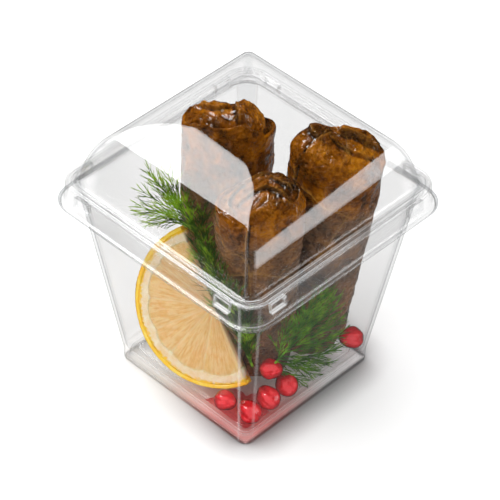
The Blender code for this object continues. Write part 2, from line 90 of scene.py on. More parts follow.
# points in mm, quads and end caps go into a mesh by foreach_set, with a value for each point in
# every attribute
def buildPiece(name, points, quads, caps, material, attributes=None):
    mesh = bpy.data.meshes.new(name)
    vertices = points.reshape(-1, 3) * mm
    loops = np.concatenate([quads.ravel(), *caps])
    sizes = np.array([4] * len(quads) + [len(cap) for cap in caps])
    mesh.vertices.add(len(vertices))
    mesh.vertices.foreach_set("co", vertices.astype(np.float32).ravel())
    mesh.loops.add(len(loops))
    mesh.loops.foreach_set("vertex_index", loops.astype(np.int32))
    mesh.polygons.add(len(sizes))
    starts = np.concatenate([[0], np.cumsum(sizes)[:-1]])
    mesh.polygons.foreach_set("loop_start", starts.astype(np.int32))
    mesh.polygons.foreach_set("use_smooth", np.full(len(sizes), True))
    mesh.update(calc_edges=True)
    mesh.validate()
    for key, values in (attributes or {}).items():
        attribute = mesh.attributes.new(key, "FLOAT", "POINT")
        attribute.data.foreach_set("value", values.astype(np.float32).ravel())
    mesh.materials.append(material)
    piece = bpy.data.objects.new(name, mesh)
    collection.objects.link(piece)
    return piece


# smooth noise from -1 to 1: random values at the corners of cubes of the cell size, blended
def smoothNoise(points, cell, seed=0):
    scaled = np.asarray(points) / cell + 1000.0
    base = np.floor(scaled).astype(np.int64)
    part = scaled - base
    weight = part ** 3 * (part * (part * 6 - 15) + 10)
    total = np.zeros(scaled.shape[:-1])
    for corner in np.ndindex(2, 2, 2):
        x, y, z = (base[..., k] + corner[k] for k in range(3))
        h = x * 73856093 ^ y * 19349663 ^ z * 83492791
        h = (h ^ (seed * 2654435761 + 12345)) & 0x7FFFFFFF
        h = (h * 1103515245 + 12345) & 0x7FFFFFFF
        h = (h ^ (h >> 13)) * 60493 & 0x7FFFFFFF
        value = h / 0x3FFFFFFF - 1.0
        for k in range(3):
            value = value * (weight[..., k] if corner[k] else 1 - weight[..., k])
        total += value
    return total


# three noises as a vector, which bends a pattern
def noiseShift(points, cell, seed):
    return np.stack([smoothNoise(points, cell, seed + k) for k in range(3)], axis=-1)


# octaves of noise, each half as large and half as high as the one before, as a share of their height
def fractalNoise(points, cell, octaves=3, seed=0):
    total, height, whole = 0.0, 1.0, 0.0
    for octave in range(octaves):
        total = total + height * smoothNoise(points, cell / 2 ** octave, seed + octave * 7)
        whole += height
        height *= 0.5
    return total / whole


# sharp creases: one minus the absolute noise, so ridges stand where the noise crosses zero
def creaseNoise(points, cell, octaves=2, seed=0):
    total, height, whole = 0.0, 1.0, 0.0
    for octave in range(octaves):
        ridge = 1 - 2 * np.abs(smoothNoise(points, cell / 2 ** octave, seed + octave * 5))
        total = total + height * ridge
        whole += height
        height *= 0.5
    return total / whole


def smoothStep(low, high, x):
    t = np.clip((x - low) / (high - low), 0, 1)
    return t * t * (3 - 2 * t)


# points of a smooth curve through given points: a cubic on each leg, which leaves each given point at
# half the step between the points before and after it
def smoothCurve(points, steps):
    points = np.asarray(points, dtype=float)
    padded = np.vstack([2 * points[0] - points[1], points, 2 * points[-1] - points[-2]])
    place = np.linspace(0, len(points) - 1, steps)
    leg = np.minimum(place.astype(int), len(points) - 2)
    t = (place - leg)[:, None]
    a, b, c, d = (padded[leg + k] for k in range(4))
    square, cube = 2 * a - 5 * b + 4 * c - d, 3 * b - a - 3 * c + d
    return 0.5 * (2 * b + (c - a) * t + square * t ** 2 + cube * t ** 3)


# the clear box, in mm: half widths, heights, walls and corner radii
boxShape = {
    "cupFoot": 29.4,
    "cupWallFoot": 28.8,
    "cupRim": 39.45,
    "cupWall": 0.85,
    "cupFloor": 4.6,
    "cupTop": 75.9,
    "cupLip": 40.9,
    "footCorner": 3.4,
    "rimCorner": 4.8,
    "lidWall": 0.8,
    "domeHalf": 38.4,
    "domeBase": 77.5,
    "domeHeight": 23.3,
    "domeDraft": 0.19,
    "domeSidePower": 4.8,
    "domeTopPower": 3.1,
    "domeCorner": 2.3,
    "skirt": 43.25,
    "flange": 45.0,
    "flangeLow": 69.3,
    "pocketFrom": 27.3,
    "pocketTo": 34.1,
    "pocketLow": 72.0,
    "pocketHigh": 76.0,
    "pocketDepth": 1.2,
    "cornerSteps": 14,
}


# a rounded square: straight sides with the given places along them, then a quarter circle
def squareRings(half, corner, places):
    half, corner = half[:, None], np.minimum(corner, 0.9 * half)[:, None]
    steps = boxShape["cornerSteps"]
    turns = np.radians(np.linspace(0, 90, steps + 1))[None, :]
    sides = []
    for quarter in range(4):
        straight = half - corner
        along = straight * places[None, :]
        side = np.stack([half + 0 * along, along], axis=-1)
        bend = np.stack([straight + corner * np.cos(turns), straight + corner * np.sin(turns)], axis=-1)
        leg = np.concatenate([side, bend[:, 1:-1]], axis=1)
        x, y = leg[..., 0], leg[..., 1]
        c, s = round(math.cos(quarter * math.pi / 2)), round(math.sin(quarter * math.pi / 2))
        sides.append(np.stack([c * x - s * y, s * x + c * y], axis=-1))
    return np.concatenate(sides, axis=1)


# every corner of a profile of (half, z, corner radius) becomes a small curve. Two more columns
# say where the bent sheet gets painted light (the middle of a bend) and painted shade (both ends)
def softenedProfile(points, radius, steps=4):
    points = np.asarray(points, dtype=float)
    rows = [(*points[0], 0, 0)]
    for before, here, after in zip(points[:-2], points[1:-1], points[2:]):
        inward, outward = before - here, after - here
        a, b = np.hypot(*inward[:2]), np.hypot(*outward[:2])
        cosine = float(inward[:2] @ outward[:2]) / max(a * b, 1e-9)
        weight = min(1.0, (math.pi - math.acos(max(-1.0, min(1.0, cosine)))) / math.radians(55))
        start = here + inward * min(radius / max(a, 1e-9), 0.45)
        end = here + outward * min(radius / max(b, 1e-9), 0.45)
        if a > 3 * radius:
            rows.append((*(here + inward * min(2.2 * radius / a, 0.6)), 0, 0))
        for t in np.linspace(0, 1, steps + 1):
            place = (1 - t) ** 2 * start + 2 * t * (1 - t) * here + t * t * end
            light = weight * max(0.0, 1 - (2.6 * (t - 0.5)) ** 2)
            rows.append((*place, light, weight * (1 if t in (0, 1) else 0)))
        if b > 3 * radius:
            rows.append((*(here + outward * min(2.2 * radius / b, 0.6)), 0, 0))
    rows.append((*points[-1], 0, 0))
    return np.array(rows)


# the profile pushed along its own normal
def offsetProfile(rows, wall):
    along = np.gradient(rows[:, :2], axis=0)
    along /= np.maximum(np.hypot(along[:, 0], along[:, 1]), 1e-9)[:, None]
    moved = rows.copy()
    moved[:, 0] += along[:, 1] * wall
    moved[:, 1] -= along[:, 0] * wall
    moved[:, 2] = np.maximum(moved[:, 2] - wall, 0.3)
    moved[:, 3:] *= 0.4
    return moved


# a closed shell from profile rows. An upright corner gets a painted highlight line at both ends of its bend
# and painted shade between them, and skin says how strongly a row mirrors where it is seen edge-on
def loftedBox(name, rows, places, material, skin, pocket=None):
    rings = squareRings(rows[:, 0], rows[:, 2], places)
    count = rings.shape[1]
    points = np.concatenate([rings, np.repeat(rows[:, None, 1:2], count, axis=1)], axis=-1)
    steps = boxShape["cornerSteps"]
    sideLine = np.where(places > 0.9999, 0.75, 0.0) + np.where(places < -0.9999, 0.4, 0.0)
    bendLine = np.zeros(steps - 1)
    bendLine[[0, -1]] = 0.2
    bendDark = np.zeros(steps - 1)
    bendDark[1:-1] = 1.0
    columnLight = np.tile(np.concatenate([sideLine, bendLine]), 4)[None, :]
    columnDark = np.tile(np.concatenate([0 * sideLine, bendDark]), 4)[None, :]
    z = rows[:, 1]
    upright = (rows[:, 2] < 5.0) * (rows[:, 0] > 20) * (1 - smoothStep(88, 99, z))
    uprightLight = (upright * (1 - 0.45 * smoothStep(76, 78, z)))[:, None]
    # a faint painted highlight all along the skirt
    skirt = (np.abs(z - 73.5) < 3.2) * (rows[:, 2] > 8.5) * 0.06
    light = np.maximum(np.maximum(rows[:, 3], skirt)[:, None], uprightLight * columnLight)
    dark = np.maximum(rows[:, 4:5], upright[:, None] * columnDark)
    if pocket is not None:
        points, lightEdge, darkEdge = pocket(points)
        light, dark = np.maximum(light, lightEdge), np.maximum(dark, darkEdge)
    quads, caps = tubeFaces(len(rows), count, True)
    marks = {"light": light, "dark": dark, "skin": np.repeat(skin, count)}
    return buildPiece(name, points, quads, caps, material, marks)


# the dome's profile, a superellipse: rise by sin^(2/top power), half width by cos^(2/side power),
# less the draft
def domeRows(steps):
    s = boxShape
    t = np.radians(89.9 * (1 - np.linspace(0, 1, steps)) ** 1.25)
    rise = s["domeHeight"] * np.sin(t) ** (2 / s["domeTopPower"])
    half = s["domeHalf"] * np.cos(t) ** (2 / s["domeSidePower"]) - s["domeDraft"] * rise
    half[0], rise[0] = 0.6, s["domeHeight"]
    corner = np.minimum(s["domeCorner"], 0.25 * half)
    return np.stack([half, s["domeBase"] + rise, corner, 0 * t, 0 * t], axis=-1)


# the lid: over the dome, across a groove and a ridge, down the skirt to the flange, and back inside
def makeLid(material):
    s = boxShape
    # offsets from the skirt, heights and corner radii of the groove, the ridge, the skirt and the flange
    ring = [(-4.55, 77.3, 4.2), (-4.0, 77.0, 4.8), (-3.4, 77.2, 5.6), (-3.0, 78.1, 6.0), (-2.4, 78.4, 6.5),
            (-1.8, 78.1, 7.0), (-1.4, 77.6, 7.6), (-0.9, 77.8, 8.1), (-0.3, 77.7, 8.7), (0.0, 77.1, 9.0),
            (0.05, 76.2, 9.0), (0.06, 75.95, 9.0), (0.07, 75.7, 9.0),
            (0.26, 72.4, 9.0), (0.28, 72.15, 9.0), (0.3, 71.9, 9.0),
            (0.35, 71.2, 9.0), (0.6, 70.6, 9.0), (1.4, 70.3, 9.1), (1.75, 69.9, 9.1)]
    ring = [(s["skirt"] + out, z, corner) for out, z, corner in ring]
    outer = np.vstack([domeRows(46), softenedProfile(ring, 0.3)])
    inner = offsetProfile(outer, s["lidWall"])[::-1]
    # the lip of the flange gets a painted dark line with a painted light one inside it
    edge = np.array([(s["flange"] - 0.05, 69.6, 9.0, 0, 2.8), (s["flange"] - 0.2, 69.4, 9.0, 0, 2.8),
                     (s["flange"] - 0.8, s["flangeLow"], 9.0, 0.8, 0)])
    rows = np.vstack([outer, edge, inner])
    skin = np.concatenate([np.ones(len(outer) + len(edge)), np.full(len(inner), 0.25)])
    reach = s["skirt"] - 9.0
    steps = np.array([-0.3, 0, 0.25, 0.5, 0.9])
    marks = np.concatenate([s["pocketFrom"] + steps, s["pocketTo"] - steps]) / reach
    places = np.sort(np.concatenate([np.linspace(-1, 1, 13), [-0.985, 0.985], marks, -marks]))

    # eight pressed pockets: the skirt steps inwards by the pocket's depth between its edges, which get
    # painted highlight and painted shade lines
    def pocket(points):
        x, y, z = points[..., 0], points[..., 1], points[..., 2]
        skirt = np.maximum(np.abs(x), np.abs(y)) > s["skirt"] - 1.4
        alongY = np.abs(x) > np.abs(y)
        along = np.where(alongY, np.abs(y), np.abs(x))
        share = smoothStep(s["pocketFrom"], s["pocketFrom"] + 0.5, along)
        share = share * (1 - smoothStep(s["pocketTo"] - 0.5, s["pocketTo"], along))
        share = share * smoothStep(s["pocketLow"] - 0.1, s["pocketLow"] + 0.4, z)
        share = share * (1 - smoothStep(s["pocketHigh"] - 0.3, s["pocketHigh"] + 0.2, z))
        share = np.where(skirt, share, 0)
        depth = share * s["pocketDepth"]
        moved = points.copy()
        moved[..., 0] -= np.where(alongY, np.sign(x) * depth, 0)
        moved[..., 1] -= np.where(alongY, 0, np.sign(y) * depth)
        return moved, 14 * share ** 2 * (1 - share), 7 * share * (1 - share) ** 2

    return loftedBox("lidShell", rows, places, material, skin, pocket)


# half width of the cup's outside at height z
def cupWallAt(z):
    s = boxShape
    return s["cupWallFoot"] + (s["cupRim"] - s["cupWallFoot"]) * z / s["cupTop"]


# the cup: under its raised floor, round the foot ring, up the wall, over the lip and down inside
def makeCup(material):
    s = boxShape
    foot, top, wall, floor = s["cupFoot"], s["cupTop"], s["cupWall"], s["cupFloor"]
    lip, rim = s["cupLip"], cupWallAt(top)

    def cornerAt(z):
        return s["footCorner"] + (s["rimCorner"] - s["footCorner"]) * z / top

    under = floor - wall
    rows = [(0.6, under + 0.4, 0.1), (foot - 3.6, under + 0.4, 3.4), (foot - 4.0, under, 3.4),
            (foot - 1.6, under, 3.4), (foot - 1.5, 0.2, 2.4), (foot - 1.3, 0.0, 2.4),
            (foot - 0.4, 0.0, 3.1), (foot, 0.5, 3.4), (foot + 0.1, 4.3, 3.4),
            (foot - 0.2, 4.8, 3.4), (cupWallAt(4.8) + 0.05, 5.3, 3.4)]
    rows += [(cupWallAt(z), z, cornerAt(z)) for z in (14, 24, 36, 48, 60, top - 2.2)]
    rows += [(rim + 0.5, top - 1.3, 5.5), (lip - 0.4, top - 1.3, 5.9), (lip, top - 0.9, 6.3),
             (lip, top - 0.4, 6.3), (lip - 0.4, top, 5.9), (rim - 0.3, top, 4.8),
             (rim - wall, top - 0.6, 4.4)]
    rows += [(cupWallAt(z) - wall, z, cornerAt(z) - 0.6) for z in (60, 48, 36, 24, 14, floor + 1.2)]
    rows += [(foot - wall - 0.2, floor + 0.4, 2.4), (foot - wall - 0.9, floor, 2.0),
             (foot - 3.8, floor, 3.4), (foot - 4.2, floor + 0.4, 3.4), (0.6, floor + 0.4, 0.1)]
    rows = softenedProfile(rows, 0.35)
    places = np.sort(np.concatenate([np.linspace(-1, 1, 17), [-0.985, 0.985]]))
    return loftedBox("cupShell", rows[::-1], places, material, np.ones(len(rows)))


# tints of the film in its near, leftmost, far, low and outermost parts, from what height up the
# leftmost one holds, the colour that its shadow lets through, the share of light that it mirrors
# where it is seen squarely, and how dark its painted bend lines are at the left and right corners.
# The tints differ by place only to set how bright the film reads: the leftmost one is painted shade,
# and in the lid the lighter far and low ones are painted light
filmLooks = {
    "lid": {
        "near": "F4F4F4", "left": "F0F0F0", "far": "FEFEFE", "rim": "F8F8F8", "side": "F4F4F4",
        "leftFrom": (0.077, 0.078), "shade": "FEFEFE", "base": 0.045, "edge": 0.29,
    },
    "cup": {
        "near": "F8F8F8", "left": "F3F3F3", "far": "F8F8F8", "rim": "F8F8F8", "side": "F8F8F8",
        "leftFrom": (0.03, 0.055), "shade": "FDFDFD", "base": 0.01, "edge": 0.2,
    },
}


# PET sheet, vacuum formed: clear with a faint grey tint, mirror-like where it is seen edge-on.
# share of reflection = base + 0.9 facing^7; bends get painted highlights, white lines, with painted shade,
# grey lines, beside them.
# Places in it are in metres
def petMaterial(part):
    look = filmLooks[part]
    material, tree = newMaterial("PET sheet, vacuum formed, " + part)
    coords = addNode(tree, "TexCoord", output="Object")
    x, y, height = addNode(tree, "SeparateXYZ", {0: coords}).node.outputs

    # 1 at the two far faces, where many layers lie behind each other: there the film is painted clearer and
    # mirrors less, as painted light
    leftward = addNode(tree, "Math", {0: x, 1: -1.0}, operation="MULTIPLY")
    far = addNode(tree, "Math", {0: leftward, 1: y}, operation="MAXIMUM")
    far = addNode(tree, "MapRange", {0: far, 1: 0.029, 2: 0.034})
    below = addNode(tree, "MapRange", {0: height, 1: 0.092, 2: 0.098, 3: 1.0, 4: 0.0})
    far = addNode(tree, "Math", {0: far, 1: below}, operation="MULTIPLY")
    rim = addNode(tree, "MapRange", {0: height, 1: 0.077, 2: 0.078, 3: 1.0, 4: 0.0})
    foot = addNode(tree, "MapRange", {0: height, 1: 0.005, 2: 0.008, 3: 1.0, 4: 0.0})

    # how far to the left or right of the middle: at the corners that are the outline over white paper, the
    # painted white lines fade and the painted grey lines deepen
    aside = addNode(tree, "VectorMath", {0: coords, 1: toRight}, "Value", operation="DOT_PRODUCT")
    left = addNode(tree, "MapRange", {0: aside, 1: -0.03, 2: -0.042})
    above = addNode(tree, "MapRange", {0: height, 1: look["leftFrom"][0], 2: look["leftFrom"][1]})
    left = addNode(tree, "Math", {0: left, 1: above}, operation="MULTIPLY")
    aside = addNode(tree, "Math", {0: aside}, operation="ABSOLUTE")
    outline = addNode(tree, "MapRange", {0: aside, 1: 0.03, 2: 0.04})
    aside = addNode(tree, "MapRange", {0: aside, 1: 0.046, 2: 0.052})
    light = addNode(tree, "Attribute", output="Fac", attribute_name="light")
    gain = addNode(tree, "MapRange", {0: outline, 3: 1.0, 4: 0.35})
    light = addNode(tree, "Math", {0: light, 1: gain}, operation="MULTIPLY")
    dark = addNode(tree, "Attribute", output="Fac", attribute_name="dark")
    gain = addNode(tree, "MapRange", {0: outline, 3: 0.13, 4: look["edge"]})
    dark = addNode(tree, "Math", {0: dark, 1: gain}, operation="MULTIPLY")

    facing = addNode(tree, "LayerWeight", {"Blend": 0.5}, "Facing")
    skin = addNode(tree, "Attribute", output="Fac", attribute_name="skin")
    steep = addNode(tree, "Math", {0: facing, 1: 7.0}, operation="POWER")
    steep = addNode(tree, "Math", {0: steep, 1: skin}, operation="MULTIPLY")
    base = addNode(tree, "MapRange", {0: far, 3: look["base"], 4: 0.3 * look["base"]})
    share = addNode(tree, "Math", {0: steep, 1: 0.9, 2: base}, operation="MULTIPLY_ADD")
    share = addNode(tree, "Math", {0: light, 1: 0.04, 2: share}, operation="MULTIPLY_ADD", use_clamp=True)
    # loss is painted shade: grey where the sheet is seen edge-on and along the painted dark lines
    loss = addNode(tree, "Math", {0: steep, 1: 0.36, 2: dark}, operation="MULTIPLY_ADD", use_clamp=True)

    tinted = addNode(tree, "Mix", {0: rim, 6: hexColor(look["near"]), 7: hexColor(look["rim"])},
                     2, data_type="RGBA")
    tinted = addNode(tree, "Mix", {0: left, 6: tinted, 7: hexColor(look["left"])}, 2, data_type="RGBA")
    tinted = addNode(tree, "Mix", {0: far, 6: tinted, 7: hexColor(look["far"])}, 2, data_type="RGBA")
    tinted = addNode(tree, "Mix", {0: aside, 6: tinted, 7: hexColor(look["side"])}, 2, data_type="RGBA")
    # the foot ring is painted clear, as painted light, and near the front corner it gets a painted
    # reflection of the seeds' red
    forward = addNode(tree, "VectorMath", {0: coords, 1: toCamera}, "Value", operation="DOT_PRODUCT")
    forward = addNode(tree, "MapRange", {0: forward, 1: 0.014, 2: 0.03})
    seedRedReflection = addNode(tree, "Mix", {0: forward, 6: hexColor("FFFFFF"), 7: hexColor("FFE6E4")},
                   2, data_type="RGBA")
    tinted = addNode(tree, "Mix", {0: foot, 6: tinted, 7: seedRedReflection}, 2, data_type="RGBA")
    through = addNode(tree, "Mix", {0: loss, 6: tinted, 7: hexColor("BCBFC1")}, 2, data_type="RGBA")
    clear = addNode(tree, "BsdfTransparent", {"Color": through})
    mirror = addNode(tree, "BsdfAnisotropic", {"Color": hexColor("FFFFFF"), "Roughness": 0.03})
    sheet = addNode(tree, "MixShader", {0: share, 1: clear, 2: mirror})
    # a matt white layer that paints the highlight lines
    white = addNode(tree, "BsdfDiffuse", {"Color": hexColor("F4F4F4")})
    lit = addNode(tree, "Math", {0: light, 1: 0.3}, operation="MULTIPLY")
    lined = addNode(tree, "MixShader", {0: lit, 1: sheet, 2: white})

    # what its shadow lets through is darker only in the foot ring, within 5 mm of the paper
    around = addNode(tree, "VectorMath", {0: coords}, operation="ABSOLUTE")
    x, y, _ = addNode(tree, "SeparateXYZ", {0: around}).node.outputs
    ring = addNode(tree, "Math", {0: x, 1: y}, operation="MAXIMUM")
    ring = addNode(tree, "MapRange", {0: ring, 1: 0.0272, 2: 0.0285})
    low = addNode(tree, "MapRange", {0: height, 1: 0.003, 2: 0.0048, 3: 1.0, 4: 0.0})
    low = addNode(tree, "Math", {0: low, 1: ring}, operation="MULTIPLY")
    veiled = addNode(tree, "Mix", {0: low, 6: hexColor(look["shade"]), 7: hexColor("484848")},
                     2, data_type="RGBA")
    veil = addNode(tree, "BsdfTransparent", {"Color": veiled})
    shadow = addNode(tree, "LightPath", output="Is Shadow Ray")
    mixed = addNode(tree, "MixShader", {0: shadow, 1: lined, 2: veil})
    addNode(tree, "OutputMaterial", {"Surface": mixed})
    return material


print("box")
lidShell = makeLid(petMaterial("lid"))
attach(lidShell, "root")
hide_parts("lid")
cupShell = makeCup(petMaterial("cup"))
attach(cupShell, "root")
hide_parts("cup")


# the slice of lemon: its place comes first, because the rolls give way to it
lemonShape = {
    "center": np.array([-0.8, -14.3, 32.4]),
    "turn": 19.5,
    "lean": 27.0,
    "cut": -52.6,
    "radius": 27.8,
    "thick": 4.6,
    "zest": 1.3,
    "pith": 3.0,
    "walls": (0.0, 0.19, 0.365, 0.495, 0.645, 0.82, 1.0),
}
turn, lean = math.radians(lemonShape["turn"]), math.radians(lemonShape["lean"])
lemonAcross = np.array([math.cos(turn), math.sin(turn), 0.0])
lemonOut = np.array([math.sin(turn) * math.cos(lean), -math.cos(turn) * math.cos(lean), math.sin(lean)])
lemonUp = np.cross(lemonOut, lemonAcross)
cutTurn = math.radians(lemonShape["cut"])

seedPlaces = (  # middle in mm, the way that the point turns in degrees, and size
    (25.0, 24.6, 9.3, 250, 1.0),
    (21.6, -10.0, 16.6, 20, 0.92),
    (24.8, -6.0, 9.3, 160, 1.0),
    (24.9, -14.6, 9.3, 175, 1.0),
    (24.9, -23.4, 9.3, 185, 1.0),
    (16.0, -25.1, 8.9, 10, 0.92),
    (-1.5, -15.9, 9.2, 30, 0.95),
)
seedShape = {"length": 8.8, "width": 7.7, "tilt": 70}


# the stuffed rolls, in mm and degrees: foot and head are (x, y), and rim says round which side, and how
# far to both sides of it, the outer leaf stands up. On the folded end, across runs along its long way
# and deep towards its back: the ridge is (across, height), and a fold is (points of (across, deep),
# rise, slope). A vein is points of (way round the roll, z)
rollShapes = {
    "roll_left": {
        "foot": (-17.2, 5.4), "head": (-16.0, 6.6), "height": 87.0, "breadth": 15.9, "depth": 10.8,
        "collar": 3.0, "rim": (0, 220), "seam": 60, "seed": 3,
        "ridge": ((-16, 0.8), (-13, 2.4), (-10.4, 5.2), (-6, 5.2), (0, 5.2), (5, 6.8), (8, 4.0),
                  (11.7, 0.4), (16, -1.0)),
        "back": 4.0, "slopes": (-0.06, 0.95),
        "folds": (
            (((2, 3.5), (2.6, 0), (2.8, -2.7), (3.9, -8)), 2.2, 6.0),
            (((10.5, -8), (12.2, -1), (10, 6)), 2.4, 5.0),
            (((-11.5, -7), (-13.0, 0), (-11.5, 6)), 3.0, 2.2),
            (((-10, 3), (-4, 0.5), (1.5, 2.5)), 1.6, 5.0),
        ),
        "veins": (((-4, 20), (6, 48), (20, 66)), ((-22, 60), (-10, 52), (2, 40))),
    },
    "roll_right": {
        "foot": (12.8, 14.2), "head": (16.9, 22.3), "height": 87.6, "breadth": 16.2, "depth": 11.2,
        "collar": 0.0, "rim": (0, -60), "seam": 215, "seed": 11,
        "ridge": ((-16, 2.5), (-12, 5.0), (-7, 6.6), (-1, 5.0), (8, 2.6), (16, -0.2)),
        "back": 3.5, "slopes": (0.5, 0.6),
        "folds": (
            (((-1, 2.9), (-7, -1.5), (-12.9, -6.2)), 1.9, 8.0),
            (((-1, 2.9), (4.7, 1.2), (11.7, 0.6), (16.5, 3.0)), 3.0, 6.0),
            (((-10, 6), (-9, 2), (-6.5, -1)), 1.4, 4.0),
            (((-4, 0.6), (2, -2.4), (8, -3.6), (13, -2.5)), 0.8, 5.0),
        ),
        "veins": (((-14, 79), (-4.5, 75), (9, 71), (17, 65)), ((-20, 30), (-6, 46), (4, 62), (8, 74))),
    },
    "roll_front": {
        "foot": (9.3, -4.6), "head": (11.4, -5.9), "height": 81.6, "breadth": 15.4, "depth": 10.2,
        "collar": 1.8, "rim": (150, 60), "seam": 265, "seed": 29,
        "ridge": ((-15.4, -2.8), (-9, -1.6), (-2.7, 2.0), (1.2, 3.8), (5.3, 4.4), (9.5, 4.4),
                  (12.4, 3.0), (15.4, 1.0)),
        "back": 4.0, "slopes": (0.2, 0.25),
        "folds": (
            (((-8, 4.6), (-1, 7.0), (5, 6.8), (10, 4.4)), 1.8, 2.0),
            (((8.0, 5.0), (11.0, 0), (9.4, -7)), 2.0, 3.5),
            (((-9.5, -3.4), (-3.5, -0.6), (2.5, -0.8), (8.2, -3.6)), 1.3, 4.5),
            (((1.0, 4.4), (4.6, 1.6), (9.4, -1.4)), 1.2, 4.0),
            (((-7, -7.5), (-10.3, -2), (-8.5, 2.2), (-4, 4.4)), 1.8, 4.0),
        ),
        "veins": (((-16, 72), (-7.5, 62), (-5, 52), (-4, 38)), ((-20, 53), (-3.5, 56), (8, 54.5), (17, 52))),
    },
}
rollCommon = {
    "acrossTurn": 43.7, "press": 12, "wrap": 0.9, "gap": 0.3, "round": 14.0,
    "floor": 5.3, "sides": 288, "sideRows": 190, "endRows": 66,
}
acrossTurn = math.radians(rollCommon["acrossTurn"])


# middle of a roll's section at height z, straight from foot to head
def rollAxis(roll, z):
    foot, head = np.array(roll["foot"]), np.array(roll["head"])
    return foot + (head - foot) * (z / roll["height"])[..., None]


# oval: 1 / sqrt((cos/a)^2 + (sin/b)^2), thinning to its foot
def ovalRadius(roll, angle, z):
    share = z / roll["height"]
    girth = 0.84 + 0.10 * smoothStep(0, 1, share * 1.6) + 0.06 * smoothStep(0, 1, share * 2.2 - 1.1)
    a, b = roll["breadth"] * girth, roll["depth"] * girth
    along = angle - acrossTurn
    return 1 / np.sqrt((np.cos(along) / a) ** 2 + (np.sin(along) / b) ** 2)


# the oval gives way to walls, neighbours, the slice and seeds: the limits join by a power mean
def rollRadius(name, angle, z):
    roll = rollShapes[name]
    gap, power = rollCommon["gap"], rollCommon["press"]
    center = rollAxis(roll, z)
    direction = np.stack([np.cos(angle), np.sin(angle)], axis=-1)
    total = ovalRadius(roll, angle, z) ** -power
    for otherName, other in rollShapes.items():
        if otherName != name:
            apart = rollAxis(other, z) - center
            length = np.hypot(apart[..., 0], apart[..., 1])
            facing = (direction * apart).sum(-1) / length
            towards = np.arctan2(apart[..., 1], apart[..., 0])
            own, theirs = ovalRadius(roll, towards, z), ovalRadius(other, towards + math.pi, z)
            room = (length * own / (own + theirs) - gap) / np.maximum(facing, 0.05)
            total = total + np.where(facing > 0.05, room ** -power, 0)
    half = cupWallAt(z) - boxShape["cupWall"] - 2 * gap
    for axis in (0, 1):
        d = direction[..., axis]
        room = (np.sign(d) * half - center[..., axis]) / np.where(np.abs(d) < 0.05, 1, d)
        total = total + np.where(np.abs(d) > 0.05, np.maximum(room, 0.5) ** -power, 0)
    # the slice as an overlap of half spaces and a disc
    ray = np.concatenate([direction, 0 * direction[..., :1]], axis=-1)
    start = np.concatenate([center, z[..., None]], axis=-1) - lemonShape["center"]
    pastCut = lemonUp * math.cos(cutTurn) - lemonAcross * math.sin(cutTurn)
    enter, leave = np.zeros_like(z), np.full_like(z, 1000.0)
    for normal, limit in ((lemonOut, 0.0), (-lemonOut, lemonShape["thick"]), (pastCut, 0.0)):
        room, rate = limit + 6 * gap - start @ normal, ray @ normal
        enter = np.where(rate < -1e-6, np.maximum(enter, room / np.minimum(rate, -1e-6)), enter)
        leave = np.where(rate > 1e-6, np.minimum(leave, room / np.maximum(rate, 1e-6)), leave)
    px, py, dx, dy = start @ lemonAcross, start @ lemonUp, ray @ lemonAcross, ray @ lemonUp
    step = dx ** 2 + dy ** 2
    nearest = -(px * dx + py * dy) / step
    beside = np.hypot(px + dx * nearest, py + dy * nearest)
    chord = np.sqrt(np.maximum(0, lemonShape["radius"] ** 2 - beside ** 2)) / np.sqrt(step)
    enter, leave = np.maximum(enter, nearest - chord), np.minimum(leave, nearest + chord)
    room = enter + np.maximum(0, enter - leave) + np.maximum(0, beside - lemonShape["radius"])
    total = total + np.where(leave > 0, np.maximum(room, 0.5) ** -power, 0)
    for x, y, middle, _, size in seedPlaces:
        girth = (0.5 * size * seedShape["length"] + 2 * gap) ** 2 - (z - middle) ** 2
        apart = np.array([x, y]) - center
        along = (apart * direction).sum(-1)
        chord = girth - ((apart ** 2).sum(-1) - along ** 2)
        hit = (along > 0) & (chord > 0)
        total = total + np.where(hit, np.maximum(along - np.sqrt(np.maximum(chord, 0)), 0.5) ** -power, 0)
    return total ** (-1 / power)


# height of the folded end over the roll's head: a ridge across it, slopes to the front and the
# back of it, and layers of leaf that step up on the left of a fold line and slope away from it
def endHeight(roll, x, y, share):
    across = x * math.cos(acrossTurn) + y * math.sin(acrossTurn)
    deep = -x * math.sin(acrossTurn) + y * math.cos(acrossTurn)
    flat = np.stack([across, deep, 0 * across], axis=-1)
    places, heights = zip(*roll["ridge"])
    ridge = np.interp(across, places, heights)
    past = deep - roll["back"]
    front, back = roll["slopes"]
    soft = np.sqrt(past ** 2 + 2.0)
    height = ridge - front * 0.5 * (soft - past) - back * 0.5 * (soft + past)
    # under and over mark where painted shade goes just under each fold's edge and a painted highlight just
    # over it
    under, over = 0 * height, 0 * height
    wander = 0.5 * smoothNoise(flat, 5.0, roll["seed"])
    for points, rise, slope in roll["folds"]:
        chain = smoothCurve(points, 14)
        distance, where = chainDistance(across + wander, deep + wander, chain)
        leg = np.minimum((where * 13).astype(int), 12)
        heading = (chain[1:] - chain[:-1])[leg]
        apart = np.stack([across + wander, deep + wander], axis=-1) - chain[leg]
        side = np.sign(heading[..., 0] * apart[..., 1] - heading[..., 1] * apart[..., 0])
        signed = distance * side
        step = smoothStep(-0.15, 0.2, signed) * np.exp(-np.maximum(signed, 0) / slope)
        fade = smoothStep(0, 0.15, where) * (1 - smoothStep(0.85, 1, where))
        height = height + rise * step * fade * (1 - 0.7 * share ** 8)
        under = np.maximum(under, fade * np.exp(-((signed + 0.4) / 0.7) ** 2))
        over = np.maximum(over, fade * np.exp(-((signed - 0.4) / 0.35) ** 2))
    return height, under, over


# where the outer leaf stands as a rim round the end: all round, or only round a stretch of it
def rimShare(roll, angle):
    middle, half = (math.radians(value) for value in roll["rim"])
    away = np.abs((angle - acrossTurn - middle + math.pi) % (2 * math.pi) - math.pi)
    return 1 - smoothStep(half - 0.3, half + 0.3, away)


